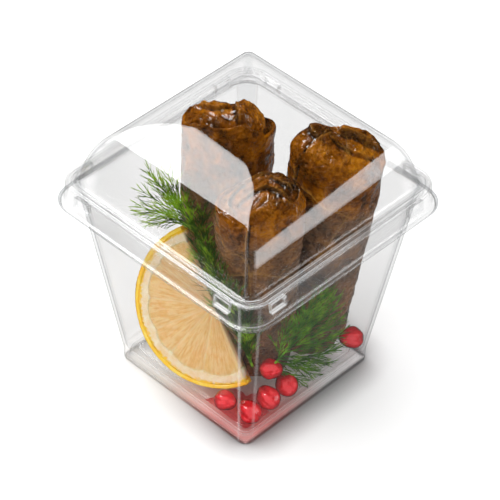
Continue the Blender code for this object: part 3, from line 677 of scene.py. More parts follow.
# distance from points (u, z) to a chain of straight legs, and the share of the way along it
def chainDistance(u, z, chain):
    best, where = np.full(u.shape, 1e9), np.zeros(u.shape)
    for k, ((u0, z0), (u1, z1)) in enumerate(zip(chain[:-1], chain[1:])):
        du, dz = u1 - u0, z1 - z0
        t = np.clip(((u - u0) * du + (z - z0) * dz) / (du * du + dz * dz), 0, 1)
        d = np.hypot(u - u0 - t * du, z - z0 - t * dz)
        where = np.where(d < best, (k + t) / (len(chain) - 1), where)
        best = np.minimum(best, d)
    return best, where


# veins of a leaf: each main rib is a smooth chain that side ribs leave at 42 degrees every 8.5 mm
def veinRelief(roll, u, z):
    relief = np.zeros(u.shape)
    for points in roll["veins"]:
        rib = smoothCurve(points, 14)
        distance, where = chainDistance(u, z, rib)
        width = 0.42 - 0.2 * where
        relief = np.maximum(relief, np.exp(-(distance / width) ** 2) * (1 - 0.4 * where))
        legs = np.diff(rib, axis=0)
        length = np.cumsum(np.hypot(legs[:, 0], legs[:, 1]))
        for reach in np.arange(5, length[-1], 8.5):
            k = int(np.searchsorted(length, reach))
            heading = math.atan2(legs[k, 1], legs[k, 0])
            for side in (-1, 1):
                away = heading + side * math.radians(42)
                far = 13.0 - 5.0 * reach / length[-1]
                t = np.linspace(0, 1, 6)[:, None]
                first = np.array([math.cos(away), math.sin(away)])
                bend = np.array([math.cos(away + side * 0.5), math.sin(away + side * 0.5)])
                branch = rib[k] + far * (t * first * (1 - 0.4 * t) + 0.4 * t * t * bend)
                d, w = chainDistance(u, z, branch)
                relief = np.maximum(relief, 0.36 * np.exp(-(d / (0.28 - 0.12 * w)) ** 2) * (1 - 0.7 * w))
    return relief


# angle past the free edge of the outer leaf, which wanders as it goes up the roll
def pastSeam(roll, angle, z):
    return (angle - (math.radians(roll["seam"]) + 0.006 * z + 0.05 * np.sin(z / 7.0))) % (2 * math.pi)


# a roll is one grid: rows up its side, over its lip and across its folded end to the middle
def makeRoll(name, material):
    roll, common = rollShapes[name], rollCommon
    floor, top, seed = common["floor"], roll["height"], roll["seed"]
    angle = np.linspace(0, 2 * math.pi, common["sides"], endpoint=False)[None, :]

    # rows of the side: height over the floor, and share of the radius where the foot rounds in
    base = np.array([(0, 0.02), (0, 0.2), (0, 0.42), (0, 0.58), (0.25, 0.68), (0.8, 0.75), (1.6, 0.82),
                     (2.6, 0.87), (4.2, 0.92), (6.5, 0.96), (9.0, 0.99)])
    z = floor + np.concatenate([base[:, 0], np.linspace(11.0, top - floor - 0.9, common["sideRows"])])
    share = np.concatenate([base[:, 1], np.ones(common["sideRows"])])
    z, share = z[:, None] + 0 * angle, share[:, None] + 0 * angle
    angles = angle + 0 * z
    turned = pastSeam(roll, angles, z)
    radius = rollRadius(name, angles, z) - common["wrap"] * (1 - turned / (2 * math.pi))
    center = rollAxis(roll, z)
    shapeAt = np.stack([radius * np.cos(angles), radius * np.sin(angles), z], axis=-1)

    # wrinkles: long soft folds up the roll, crossed by small creases; they only go inwards, because
    # the roll touches the walls
    warp = shapeAt + 2.5 * noiseShift(shapeAt, 9.0, seed + 40)
    folds = creaseNoise(warp * np.array([1, 1, 0.45]), 9.0, 2, seed)
    creases = creaseNoise(warp * np.array([1, 1, 0.8]), 3.6, 2, seed + 1)
    grain = fractalNoise(shapeAt, 1.1, 2, seed + 2)
    u = (angles - acrossTurn + math.pi / 2) * common["round"]
    u = (u + 44.0) % 88.0 - 44.0
    wander = 0.8 * smoothNoise(shapeAt, 6.0, seed + 5)
    veins = veinRelief(roll, u + wander, z + wander)
    relief = -0.9 + 0.55 * folds + 0.36 * creases + 0.03 * grain + 0.22 * veins
    radius = (radius + relief * np.minimum(1, share * 1.2)) * share
    x, y = radius * np.cos(angles), radius * np.sin(angles)
    rise = smoothStep(0, 1, (z - 60) / (top - 66))  # the slopes of the end begin 60 mm up
    shoulder = 2.8 * (1 - rimShare(roll, angles))
    lift = rise * (endHeight(roll, x, y, 1.0)[0] - shoulder)
    sidePoints = np.stack([center[..., 0] + x, center[..., 1] + y, z + lift], axis=-1)
    # the free edge of the outer leaf gets a painted highlight line, with painted shade in the gap beside it
    beforeEdge, pastEdge = (2 * math.pi - turned) * common["round"], turned * common["round"]
    sideVeinAndLitEdge = np.maximum(veins, 0.6 * np.exp(-((beforeEdge - 0.4) / 0.35) ** 2))
    # painted shade in the valleys of the folds and creases
    sideCreaseShade = np.clip(0.5 - 0.5 * (0.6 * folds + 0.4 * creases), 0, 1)
    sideCreaseShade = np.maximum(sideCreaseShade, np.exp(-((pastEdge - 0.4) / 0.6) ** 2))

    # rows of the end: the lip rounds over, drops by the collar's depth, then the folded leaf fills
    # the middle
    lip = np.array([(1.0, -0.5), (0.995, -0.15), (0.98, 0.1), (0.955, 0.2), (0.93, 0.1), (0.912, -0.3),
                    (0.905, -0.8)])
    inner = np.linspace(0.895, 0.0, common["endRows"] - len(lip))
    share = np.concatenate([lip[:, 0], inner])[:, None] + 0 * angle
    drop = np.concatenate([lip[:, 1], np.zeros(len(inner))])[:, None] + 0 * angle
    isLip = np.concatenate([np.ones(len(lip)), np.zeros(len(inner))])[:, None] + 0 * angle
    angles = angle + 0 * share
    z = np.full_like(angles, top)
    rim = rollRadius(name, angles, z) - common["wrap"] * (1 - pastSeam(roll, angles, z) / (2 * math.pi))
    rimAt = np.stack([rim * np.cos(angles), rim * np.sin(angles), z], axis=-1)
    radius = (rim + relief[-1:, :]) * np.maximum(share, 0.003)
    x, y = radius * np.cos(angles), radius * np.sin(angles)
    flat = np.stack([x, y, 0 * x], axis=-1)
    depth = roll["collar"] * smoothStep(-0.5, 0.6, smoothNoise(rimAt, 11.0, seed + 9) + 0.35)
    rimmed = rimShare(roll, angles)
    height, under, over = endHeight(roll, x, y, share)
    height = np.where(isLip > 0, endHeight(roll, x, y, 1.0)[0] + 0 * height, height)
    rounded = -2.8 * np.clip((share - 0.62) / 0.38, 0, 1) ** 2.6
    fall = depth * smoothStep(0.55, 0.9, share)
    warped = flat + 3.0 * noiseShift(flat, 8.0, seed + 60)
    crumple = creaseNoise(warped, 7.5, 2, seed + 20)
    fine = creaseNoise(warped, 2.8, 2, seed + 21)
    flatVeins = np.exp(-(smoothNoise(warped, 9.0, seed + 22) / 0.05) ** 2) * 0.25
    inside = smoothStep(0.0, 0.1, 0.9 - share) * (1 - isLip)
    drop = drop * (1 + 0.4 * smoothNoise(rimAt, 5.0, seed + 8)) - fall * (1 - isLip)
    height = height + rimmed * drop + (1 - rimmed) * rounded
    height = height + inside * (0.95 * crumple + 0.5 * fine + 0.12 * flatVeins)
    center = rollAxis(roll, z)
    endPoints = np.stack([center[..., 0] + x, center[..., 1] + y, z + height], axis=-1)
    # painted highlights along fold edges; painted shade in the crumples' valleys, under the folds and in the
    # gutter where the collar drops
    endVeinAndLitEdge = np.maximum(flatVeins, 0.22 * over) * inside
    endCreaseShade = np.clip(0.5 - 0.5 * (0.6 * crumple + 0.4 * fine), 0, 1) * inside + (1 - inside) * 0.35
    endCreaseShade = np.maximum(endCreaseShade, 0.9 * under * inside)
    gutterShade = rimmed * np.clip(depth / 1.4, 0, 1) * np.exp(-((share - 0.865) / 0.035) ** 2)
    endCreaseShade = np.maximum(endCreaseShade, 0.9 * gutterShade)

    points = np.concatenate([sidePoints, endPoints])
    quads, caps = tubeFaces(len(points), common["sides"])
    attributes = {
        "veinAndLitEdge": np.concatenate([sideVeinAndLitEdge, endVeinAndLitEdge]),
        "low": np.concatenate([sideCreaseShade, endCreaseShade]),
    }
    return buildPiece(name + "Leaf", points, quads, caps, material, attributes)


# vine leaf, brined and stewed: olive brown turned orange where thin, wet with oil, paler raw-sienna ribs
def leafMaterial():
    material, tree = newMaterial("vine leaf, brined and stewed")
    coords = addNode(tree, "TexCoord", output="Object")
    veinAndLitEdge = addNode(tree, "Attribute", output="Fac", attribute_name="veinAndLitEdge")
    low = addNode(tree, "Attribute", output="Fac", attribute_name="low")
    # blotches about 9 mm and mottling about 1.5 mm across
    blotch = addNode(tree, "TexNoise", {
        "Vector": coords, "Scale": 110.0, "Detail": 4.0, "Roughness": 0.6,
    }, "Fac")
    mottle = addNode(tree, "TexNoise", {
        "Vector": coords, "Scale": 620.0, "Detail": 2.0, "Roughness": 0.5,
    }, "Fac")
    # low is painted shade in the leaf's creases, under its folds and in the gutter by its collar
    shade = addNode(tree, "Math", {0: low, 1: -0.48, 2: blotch}, operation="MULTIPLY_ADD")
    shade = addNode(tree, "Math", {0: mottle, 1: 0.35, 2: shade}, operation="MULTIPLY_ADD")
    grain = addNode(tree, "TexNoise", {"Vector": coords, "Scale": 1700.0, "Detail": 2.0}, "Fac")
    speck = addNode(tree, "Math", {0: grain, 1: 0.5}, operation="SUBTRACT")
    shade = addNode(tree, "Math", {0: speck, 1: 0.08, 2: shade}, operation="MULTIPLY_ADD")
    tone = addNode(tree, "ValToRGB", {"Fac": shade}, stops=[
        (0.14, "1C0B00"), (0.34, "4A2600"), (0.5, "844800"), (0.64, "AE6600"), (0.84, "D88E14"),
    ])
    # net of fine veins, cells about 5 mm across, bent by noise
    shift = addNode(tree, "TexNoise", {"Vector": coords, "Scale": 250.0}, "Color")
    bent = addNode(tree, "MixRGB", {0: 0.004, 1: coords, 2: shift}, blend_type="LINEAR_LIGHT")
    net = addNode(tree, "TexVoronoi", {"Vector": bent, "Scale": 190.0},
                  "Distance", feature="DISTANCE_TO_EDGE")
    net = addNode(tree, "MapRange", {0: net, 1: 0.0, 2: 0.04, 3: 0.15, 4: 0.0})
    # the ribs' paler colour also paints highlight lines along fold edges and the outer leaf's free edge
    rib = addNode(tree, "Math", {0: veinAndLitEdge, 1: 0.85, 2: net}, operation="MULTIPLY_ADD", use_clamp=True)
    color = addNode(tree, "Mix", {0: rib, 6: tone, 7: hexColor("E2A244")}, 2, data_type="RGBA")
    # from 74 mm down to 66 mm, low in the cup, the leaf's colour is mixed more and more with grey and its
    # coat thins
    height = addNode(tree, "SeparateXYZ", {0: coords}, "Z")
    lowGrey = addNode(tree, "MapRange", {0: height, 1: 0.066, 2: 0.074, 3: 0.55, 4: 0.0})
    color = addNode(tree, "Mix", {0: lowGrey, 6: color, 7: hexColor("786B5E")}, 2, data_type="RGBA")
    wetCoat = addNode(tree, "MapRange", {0: height, 1: 0.066, 2: 0.074, 3: 0.25, 4: 0.9})
    wet = addNode(tree, "MapRange", {0: mottle, 1: 0.3, 2: 0.7, 3: 0.2, 4: 0.4})
    # crumpled flats about 7 mm and 3 mm across, by the distance to the edges of cells
    flats = addNode(tree, "TexVoronoi", {"Vector": bent, "Scale": 140.0},
                    "Distance", feature="DISTANCE_TO_EDGE")
    relief = addNode(tree, "Math", {0: mottle, 1: 0.45}, operation="MULTIPLY")
    relief = addNode(tree, "Math", {0: flats, 1: 5.0, 2: relief}, operation="MULTIPLY_ADD")
    crinkle = addNode(tree, "TexVoronoi", {"Vector": bent, "Scale": 330.0},
                      "Distance", feature="DISTANCE_TO_EDGE")
    relief = addNode(tree, "Math", {0: crinkle, 1: 1.8, 2: relief}, operation="MULTIPLY_ADD")
    bump = addNode(tree, "Bump", {"Strength": 1.0, "Distance": 0.0006, "Height": relief})
    shader = addNode(tree, "BsdfPrincipled", {
        "Base Color": color, "Roughness": wet, "IOR": 1.45, "Normal": bump, "Coat Weight": wetCoat,
        "Coat Roughness": 0.07, "Coat IOR": 1.45, "Specular IOR Level": 0.12,
    })
    addNode(tree, "OutputMaterial", {"Surface": shader})
    return material


print("rolls")
leaf = leafMaterial()
for rollName in rollShapes:
    piece = makeRoll(rollName, leaf)
    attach(piece, "root")
    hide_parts(rollName)


# a point of the slice drawn with its straight edge along x, put on the leaning plane
def placeOnSlice(x, y, z):
    s = x * math.cos(cutTurn) - y * math.sin(cutTurn)
    t = x * math.sin(cutTurn) + y * math.cos(cutTurn)
    place = s[..., None] * lemonAcross + t[..., None] * lemonUp + z[..., None] * lemonOut
    return place + lemonShape["center"]


# which segment an angle lies in: share of the way over it, and its width as a share of the half disc
def segmentAt(angle):
    walls = np.array(lemonShape["walls"])
    share = np.clip(-angle / math.pi, 0, 0.999999)
    number = np.clip(np.searchsorted(walls, share, side="right") - 1, 0, len(walls) - 2)
    wide = walls[number + 1] - walls[number]
    return (share - walls[number]) / wide, wide


# where the pulp ends: segments a little rounded at the pith, by the root of a sine
def pulpEdge(angle, pulpRadius):
    across, wide = segmentAt(angle)
    swell = np.abs(np.sin(math.pi * across)) ** 0.5
    return pulpRadius - 1.3 * (1 - swell)


# a half ring with rounded front and back edges; its section is a loop of (radius, depth) that may
# change round the ring
def halfBand(name, outer, innerAt, relief, material):
    steps, thick, r = 220, lemonShape["thick"], 0.35
    angle = -np.linspace(0, math.pi, steps)
    inner = innerAt(angle)
    same = 0 * angle
    loop = []
    for k in range(5):  # front outer edge
        a = math.radians(90 - 22.5 * k)
        loop.append((outer - r + r * math.cos(a), -r + r * math.sin(a)))
    loop += [(outer, -depth) for depth in np.linspace(0.9, thick - 0.9, 16)]
    for k in range(5):  # back outer edge
        a = math.radians(-22.5 * k)
        loop.append((outer - r + r * math.cos(a), -thick + r + r * math.sin(a)))
    loop += [(outer + (inner - outer) * share, -thick) for share in np.linspace(0.3, 0.9, 3)]
    loop += [(inner, -thick + 0.1), (inner, -thick / 2), (inner, -0.15)]
    loop += [(inner + (outer - inner) * share, 0.0) for share in np.linspace(0.1, 0.9, 9)]
    radius = np.stack([at + same for at, _ in loop], axis=1)
    depth = np.stack([at + same for _, at in loop], axis=1)
    angles = angle[:, None] + 0 * radius
    radius, depth = relief(radius, depth, angles)
    points = placeOnSlice(radius * np.cos(angles), radius * np.sin(angles), depth)
    quads, caps = tubeFaces(*radius.shape, True)
    out = (radius - inner[:, None]) / (outer - inner[:, None])
    return buildPiece(name, points, quads, caps, material, {"out": out})


# three layers of the slice: pored peel, spongy pith, and pulp in segments
def makeLemon(zestSurface, pithSurface, pulpSurface):
    s = lemonShape
    pithOut = s["radius"] - s["zest"]
    pulpRadius = pithOut - s["pith"] - 0.15

    # pores: pits about 1 mm apart on the outside only
    def pores(radius, depth, angles):
        at = np.stack([radius * np.cos(angles), radius * np.sin(angles), depth], axis=-1)
        pits = 0.16 * smoothStep(0.2, 0.7, smoothNoise(at, 0.9, 71))
        pits = pits + 0.075 * (1 - smoothNoise(at, 6.0, 72))
        outside = smoothStep(s["radius"] - 0.5, s["radius"] - 0.05, radius)
        return radius - outside * pits, depth

    def soft(radius, depth, angles):
        at = np.stack([radius * np.cos(angles), radius * np.sin(angles), depth], axis=-1)
        front = smoothStep(-0.2, -0.02, depth)
        return radius, depth - front * 0.1 * (1 + fractalNoise(at, 1.6, 2, 81))

    def zestInside(angle):
        return pithOut - 0.02 + 0 * angle

    def pithInside(angle):
        return pulpEdge(angle, pulpRadius) - 0.05

    zest = halfBand("lemonZest", s["radius"], zestInside, pores, zestSurface)
    pith = halfBand("lemonPith", pithOut + 0.02, pithInside, soft, pithSurface)

    # pulp: a half disc of juice sacks, long drops that point to the middle, between pale walls
    steps, rings = 420, 110
    angle = -np.linspace(0, math.pi, steps)[:, None]
    share = np.linspace(0, 1, rings)[None, :] ** 0.7
    reach = pulpEdge(angle, pulpRadius)
    radius = share * reach
    angles = angle + 0 * radius
    across, wide = segmentAt(angles)
    wall = np.minimum(across, 1 - across) * wide * math.pi * radius
    edge = np.minimum(wall, (reach - radius) * 0.8)
    swell = smoothStep(0.1, 1.3, edge) * smoothStep(0.6, 3.0, radius)
    # sacks 3.2 mm long and 0.6 mm wide at the rim
    sack = np.stack([radius / 3.2, angles * 34.0, 0 * radius], axis=-1)
    sack = sack + 0.3 * noiseShift(sack, 1.5, 90)
    cells = smoothNoise(sack, 0.8, 95) * 0.5 + np.abs(smoothNoise(sack, 0.55, 96)) * 0.5
    depth = -0.22 + 0.12 * swell + 0.11 * cells * swell
    front = placeOnSlice(radius * np.cos(angles), radius * np.sin(angles), depth)
    back = placeOnSlice(radius * np.cos(angles), radius * np.sin(angles), -s["thick"] + 0 * depth)
    points = np.concatenate([front, back[:, ::-1]], axis=1)
    quads, caps = tubeFaces(*points.shape[:2], True)
    membrane = 1 - smoothStep(0.08, 0.55, edge) * smoothStep(0.5, 2.2, radius)
    sackTone = np.clip(0.5 + 0.6 * cells, 0, 1)
    attributes = {
        "membrane": np.concatenate([membrane, membrane[:, ::-1]], axis=1),
        "sack": np.concatenate([sackTone, sackTone[:, ::-1]], axis=1),
    }
    pulp = buildPiece("lemonPulp", points, quads, caps, pulpSurface, attributes)
    return zest, pith, pulp


# lemon peel: waxy orange-yellow, pored, shiny
def zestMaterial():
    material, tree = newMaterial("lemon peel, waxed")
    coords = addNode(tree, "TexCoord", output="Object")
    noise = addNode(tree, "TexNoise", {"Vector": coords, "Scale": 300.0, "Detail": 3.0}, "Fac")
    color = addNode(tree, "ValToRGB", {"Fac": noise}, stops=[
        (0.3, "FFB81C"), (0.5, "FFD23C"), (0.75, "FFE478"),
    ])
    pore = addNode(tree, "TexVoronoi", {"Vector": coords, "Scale": 900.0}, "Distance")
    bump = addNode(tree, "Bump", {"Strength": 0.5, "Distance": 0.0003, "Height": pore})
    # the peel glows faintly in its own colour: painted light
    shader = addNode(tree, "BsdfPrincipled", {
        "Base Color": color, "Roughness": 0.32, "IOR": 1.45, "Normal": bump,
        "Subsurface Weight": 0.15, "Subsurface Scale": 0.001, "Emission Color": color,
        "Emission Strength": 0.14,
    })
    addNode(tree, "OutputMaterial", {"Surface": shader})
    return material


# pith: spongy cream white, matt
def pithMaterial():
    material, tree = newMaterial("lemon pith, cut")
    coords = addNode(tree, "TexCoord", output="Object")
    noise = addNode(tree, "TexNoise", {"Vector": coords, "Scale": 420.0, "Detail": 4.0}, "Fac")
    color = addNode(tree, "ValToRGB", {"Fac": noise}, stops=[
        (0.3, "F8D4A0"), (0.6, "FDE5C2"), (0.8, "FFF2DA"),
    ])
    # the peel's yellow bleeds raggedly into the pith's outer edge, the pulp's orange into its inner edge
    out = addNode(tree, "Attribute", output="Fac", attribute_name="out")
    speckle = addNode(tree, "TexNoise", {"Vector": coords, "Scale": 1000.0, "Detail": 2.0}, "Fac")
    ragged = addNode(tree, "Math", {0: speckle, 1: 0.7, 2: out}, operation="MULTIPLY_ADD")
    peel = addNode(tree, "MapRange", {0: ragged, 1: 1.0, 2: 1.2})
    color = addNode(tree, "Mix", {0: peel, 6: color, 7: hexColor("FFC820")}, 2, data_type="RGBA")
    flesh = addNode(tree, "MapRange", {0: ragged, 1: 0.4, 2: 0.28})
    color = addNode(tree, "Mix", {0: flesh, 6: color, 7: hexColor("F2CE92")}, 2, data_type="RGBA")
    bump = addNode(tree, "Bump", {"Strength": 0.4, "Distance": 0.0003, "Height": noise})
    shader = addNode(tree, "BsdfPrincipled", {
        "Base Color": color, "Roughness": 0.6, "IOR": 1.4, "Normal": bump, "Subsurface Weight": 0.3,
        "Subsurface Scale": 0.0015,
    })
    addNode(tree, "OutputMaterial", {"Surface": shader})
    return material


# pulp: juice sacks in straw yellow between cream walls, wet
def pulpMaterial():
    material, tree = newMaterial("lemon pulp, cut and wet")
    coords = addNode(tree, "TexCoord", output="Object")
    membrane = addNode(tree, "Attribute", output="Fac", attribute_name="membrane")
    sack = addNode(tree, "Attribute", output="Fac", attribute_name="sack")
    noise = addNode(tree, "TexNoise", {"Vector": coords, "Scale": 700.0, "Detail": 3.0}, "Fac")
    mixed = addNode(tree, "Math", {0: noise, 1: 0.5, 2: sack}, operation="MULTIPLY_ADD")
    tone = addNode(tree, "ValToRGB", {"Fac": mixed}, stops=[
        (0.3, "E6AE60"), (0.75, "F0BF7A"), (1.0, "F6CF92"),
    ])
    pale = addNode(tree, "Math", {0: membrane, 1: 0.42}, operation="MULTIPLY")
    color = addNode(tree, "Mix", {0: pale, 6: tone, 7: hexColor("F7DDAE")}, 2, data_type="RGBA")
    bump = addNode(tree, "Bump", {"Strength": 0.5, "Distance": 0.0003, "Height": noise})
    shader = addNode(tree, "BsdfPrincipled", {
        "Base Color": color, "Roughness": 0.25, "IOR": 1.36, "Normal": bump, "Coat Weight": 0.5,
        "Coat Roughness": 0.08, "Subsurface Weight": 0.35, "Subsurface Scale": 0.002,
    })
    addNode(tree, "OutputMaterial", {"Surface": shader})
    return material


print("lemon")
lemonPieces = makeLemon(zestMaterial(), pithMaterial(), pulpMaterial())
for piece, node in zip(lemonPieces, ("lemon_zest", "lemon_pith", "lemon_pulp")):
    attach(piece, "root")
    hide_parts(node)


# a ball drawn out to a blunt point, with five soft flats round it
def makeSeed(number, material):
    x, y, z, turnDegrees, size = seedPlaces[number - 1]
    s = seedShape
    rows, columns = 34, 50
    polar = np.linspace(0.02, math.pi - 0.02, rows)[:, None]
    around = np.linspace(0, 2 * math.pi, columns, endpoint=False)[None, :]
    up = 0.5 * np.cos(polar) + 0 * around
    taper = 1 - 0.35 * np.maximum(0, up + 0.1)
    flats = 1 + 0.045 * np.cos(5 * around + 2 * up) - 0.012 * np.abs(np.sin(5 * around + number))
    wide = 0.5 * np.sin(polar) * taper * flats * s["width"] * size
    local = np.stack([wide * np.cos(around), wide * np.sin(around), up * s["length"] * size], axis=-1)
    local = local * (1 + 0.02 * smoothNoise(local, 2.2, number)[..., None])
    turn = Matrix.Rotation(math.radians(turnDegrees), 3, "Z")
    lie = turn @ Matrix.Rotation(math.radians(s["tilt"]), 3, "Y")
    points = local @ np.array(lie).T + np.array([x, y, z])
    quads, caps = tubeFaces(rows, columns, True)
    tip = (0.5 - up).ravel()
    column = np.stack([np.cos(around) * 3 + 0 * up, np.sin(around) * 3 + 0 * up, up * 0.8], axis=-1)
    marks = {"tip": tip, "streak": 0.5 + 0.5 * smoothNoise(column, 0.5, number + 50)}
    return buildPiece(f"pomegranateSeed{number}", points, quads, caps, material, marks)


# pomegranate flesh round its pip: translucent crimson with a paler heart, partly painted light, wet
def seedMaterial():
    material, tree = newMaterial("pomegranate flesh, wet")
    coords = addNode(tree, "TexCoord", output="Object")
    tip = addNode(tree, "Attribute", output="Fac", attribute_name="tip")
    noise = addNode(tree, "TexNoise", {"Vector": coords, "Scale": 420.0, "Detail": 3.0}, "Fac")
    streak = addNode(tree, "Attribute", output="Fac", attribute_name="streak")
    facing = addNode(tree, "LayerWeight", {"Blend": 0.5}, "Facing")
    # clear flesh: by how squarely it faces the eye, its middle is lighter and its rim deepest; this is
    # partly the pale pip showing through and partly painted light
    heartAndFacingLight = addNode(tree, "Math", {0: facing, 1: -0.7, 2: 0.66}, operation="MULTIPLY_ADD")
    mixed = addNode(tree, "Math", {0: streak, 1: 0.16, 2: heartAndFacingLight}, operation="MULTIPLY_ADD")
    mixed = addNode(tree, "Math", {0: noise, 1: 0.5, 2: mixed}, operation="MULTIPLY_ADD")
    mixed = addNode(tree, "Math", {0: tip, 1: 0.12, 2: mixed}, operation="MULTIPLY_ADD")
    color = addNode(tree, "ValToRGB", {"Fac": mixed}, stops=[
        (0.42, "4A0004"), (0.66, "A0020C"), (0.9, "E0101E"), (1.0, "FF4A52"),
    ])
    bump = addNode(tree, "Bump", {"Strength": 0.25, "Distance": 0.0004, "Height": noise})
    shader = addNode(tree, "BsdfPrincipled", {
        "Base Color": color, "Roughness": 0.18, "IOR": 1.38, "Normal": bump, "Coat Weight": 0.7,
        "Coat Roughness": 0.05, "Specular IOR Level": 0.1, "Subsurface Weight": 0.35,
        "Subsurface Scale": 0.002, "Subsurface Radius": (1.0, 0.12, 0.1),
    })
    addNode(tree, "OutputMaterial", {"Surface": shader})
    return material


print("seeds")
flesh = seedMaterial()
for number in range(1, len(seedPlaces) + 1):
    piece = makeSeed(number, flesh)
    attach(piece, "root")
    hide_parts(f"seed_{number}")


# juice that ran out of the seeds: a thin puddle with a wandering edge, in the front corner of the floor
juiceShape = {"center": (19.6, -20.4), "long": 10.5, "wide": 7.6, "turn": 35, "height": 0.3, "floor": 5.03}


def makeJuice(material):
    s = juiceShape
    share = np.linspace(0.02, 1, 22)[:, None]
    around = np.linspace(0, 2 * math.pi, 96, endpoint=False)[None, :]
    circle = np.stack([np.cos(around), np.sin(around), 0 * around], axis=-1)
    edge = 1 + 0.3 * smoothNoise(circle * 2.0, 1.0, 7) + 0.08 * smoothNoise(circle * 6.0, 1.0, 8)
    u, v = s["long"] * edge * share * np.cos(around), s["wide"] * edge * share * np.sin(around)
    c, t = math.cos(math.radians(s["turn"])), math.sin(math.radians(s["turn"]))
    x = np.clip(s["center"][0] + c * u - t * v, -26.6, 27.0)
    y = np.clip(s["center"][1] + t * u + c * v, -27.0, 26.6)
    top = s["floor"] + s["height"] * (1 - share ** 4) + 0.02 + 0 * x
    upper = np.stack([x, y, top], axis=-1)
    lower = np.stack([x, y, s["floor"] + 0 * x], axis=-1)[::-1]
    points = np.concatenate([upper, lower])
    quads, caps = tubeFaces(*points.shape[:2], True)
    return buildPiece("pomegranateJuice", points, quads, caps, material)


# pomegranate juice, spilt thin: clear rose that mirrors a little of the light
def juiceMaterial():
    material, tree = newMaterial("pomegranate juice, spilt")
    coords = addNode(tree, "TexCoord", output="Object")
    noise = addNode(tree, "TexNoise", {"Vector": coords, "Scale": 150.0, "Detail": 2.0}, "Fac")
    tint = addNode(tree, "ValToRGB", {"Fac": noise}, stops=[(0.35, "FBD0D2"), (0.65, "F6B0B4")])
    clear = addNode(tree, "BsdfTransparent", {"Color": tint})
    mirror = addNode(tree, "BsdfAnisotropic", {"Color": hexColor("FFFFFF"), "Roughness": 0.08})
    mixed = addNode(tree, "MixShader", {0: 0.04, 1: clear, 2: mirror})
    addNode(tree, "OutputMaterial", {"Surface": mixed})
    return material


juice = makeJuice(juiceMaterial())
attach(juice, "root")


# the dill: the tones run from deep to bright, and the stem's route is in mm
dillShapes = {
    "dill_back": {
        "seed": 5, "thread": 0.15, "tones": ("183800", "366000", "9CC828"),
        "route": ((18.8, -15.9, 20.0), (17.0, -16.9, 25.3), (12.8, -18.6, 35.4), (8.2, -19.9, 45.4),
                  (-0.2, -16.4, 50.2), (-8.6, -11.6, 52.2), (-12.6, -11.2, 56.6), (-14.7, -12.0, 63.0),
                  (-15.4, -12.6, 71.0)),
        # share of the stem, tip, and a place on the way for the fronds that first cross behind the slice
        "fronds": (
            (0.04, (18.7, -15.6, 36.1)), (0.06, (15.6, -18.4, 40.5)), (0.16, (16.3, -16.5, 43.9)),
            (0.18, (13.1, -19.6, 48.1)), (0.30, (9.7, -20.3, 55.8)), (0.34, (12.4, -16.8, 50.9)),
            (0.42, (4.1, -19.7, 58.5)), (0.44, (6.4, -16.8, 55.0)), (0.52, (-2.1, -16.2, 61.5)),
            (0.56, (-3.2, -12.6, 57.4)), (0.64, (-8.2, -12.7, 63.0)), (0.72, (-9.4, -10.8, 66.0)),
            (0.80, (-13.0, -12.6, 66.7)), (0.88, (-15.1, -12.7, 70.5)),
            (0.72, (-32.2, -18.8, 58.4), (-20.5, -11.4, 56.0)),
            (0.70, (-31.1, -17.7, 54.8), (-20.5, -11.4, 55.0)),
            (0.76, (-29.4, -16.2, 73.8), (-19.5, -11.0, 60.0)),
            (0.74, (-30.3, -17.0, 64.4), (-20.0, -11.4, 58.0)),
            (0.80, (-26.3, -13.2, 68.6), (-18.8, -11.0, 61.0)),
            (0.82, (-23.5, -11.6, 65.2), (-18.0, -11.4, 60.5)),
            (0.78, (-28.1, -14.9, 70.6), (-19.2, -11.0, 60.0)), (0.52, (-4.0, -15.0, 60.0)),
            (0.46, (1.4, -17.6, 59.6)), (0.24, (11.2, -19.0, 52.0)), (0.36, (6.8, -19.4, 57.4)),
            (0.66, (-7.0, -12.0, 60.5)), (0.10, (17.4, -17.4, 42.0)), (0.50, (-10.6, -13.5, 54.5)),
            (0.38, (-6.6, -16.0, 52.5)), (0.28, (-0.2, -18.8, 49.0)), (0.18, (5.5, -21.3, 43.5)),
            (0.62, (-14.0, -13.0, 60.0)), (0.60, (-12.6, -12.4, 62.5)),
            (0.74, (-29.2, -15.9, 50.7), (-20.5, -11.6, 54.0)),
            (0.80, (-25.0, -11.9, 74.2), (-19.0, -11.0, 61.0)),
            (0.84, (-22.5, -10.2, 68.1), (-18.0, -11.2, 61.0)),
            (0.72, (-28.1, -14.9, 57.0), (-20.5, -11.4, 55.5)),
        ),
    },
    "dill_front": {
        "seed": 8, "thread": 0.18, "tones": ("1E4400", "468000", "86B81C"),
        "route": ((21.9, -9.9, 17.9), (24.4, -7.6, 24.0), (27.4, -4.2, 30.5), (30.6, -0.4, 37.0)),
        "fronds": (
            (0.08, (27.4, -1.6, 9.4)), (0.14, (27.3, 5.4, 6.9)), (0.22, (27.6, 11.7, 8.2)),
            (0.28, (28.2, 13.9, 13.4)), (0.36, (29.6, 12.9, 22.0)), (0.46, (30.9, 11.6, 30.0)),
            (0.56, (31.8, 9.0, 38.6)), (0.72, (33.0, 6.0, 46.4)), (0.64, (33.7, 1.6, 52.6)),
            (0.52, (33.6, -2.0, 53.4)), (0.36, (31.2, -5.6, 46.4)), (0.2, (27.2, -7.4, 38.6)),
        ),
    },
}
dillCommon = {
    "stem": 0.45, "rib": 0.24, "tip": 0.07, "clear": 0.25, "viewer": np.array(toCamera),
    "steps": 40, "bareApart": (0.16, 1.6), "bareApartFar": (0.4, 1.1),
}


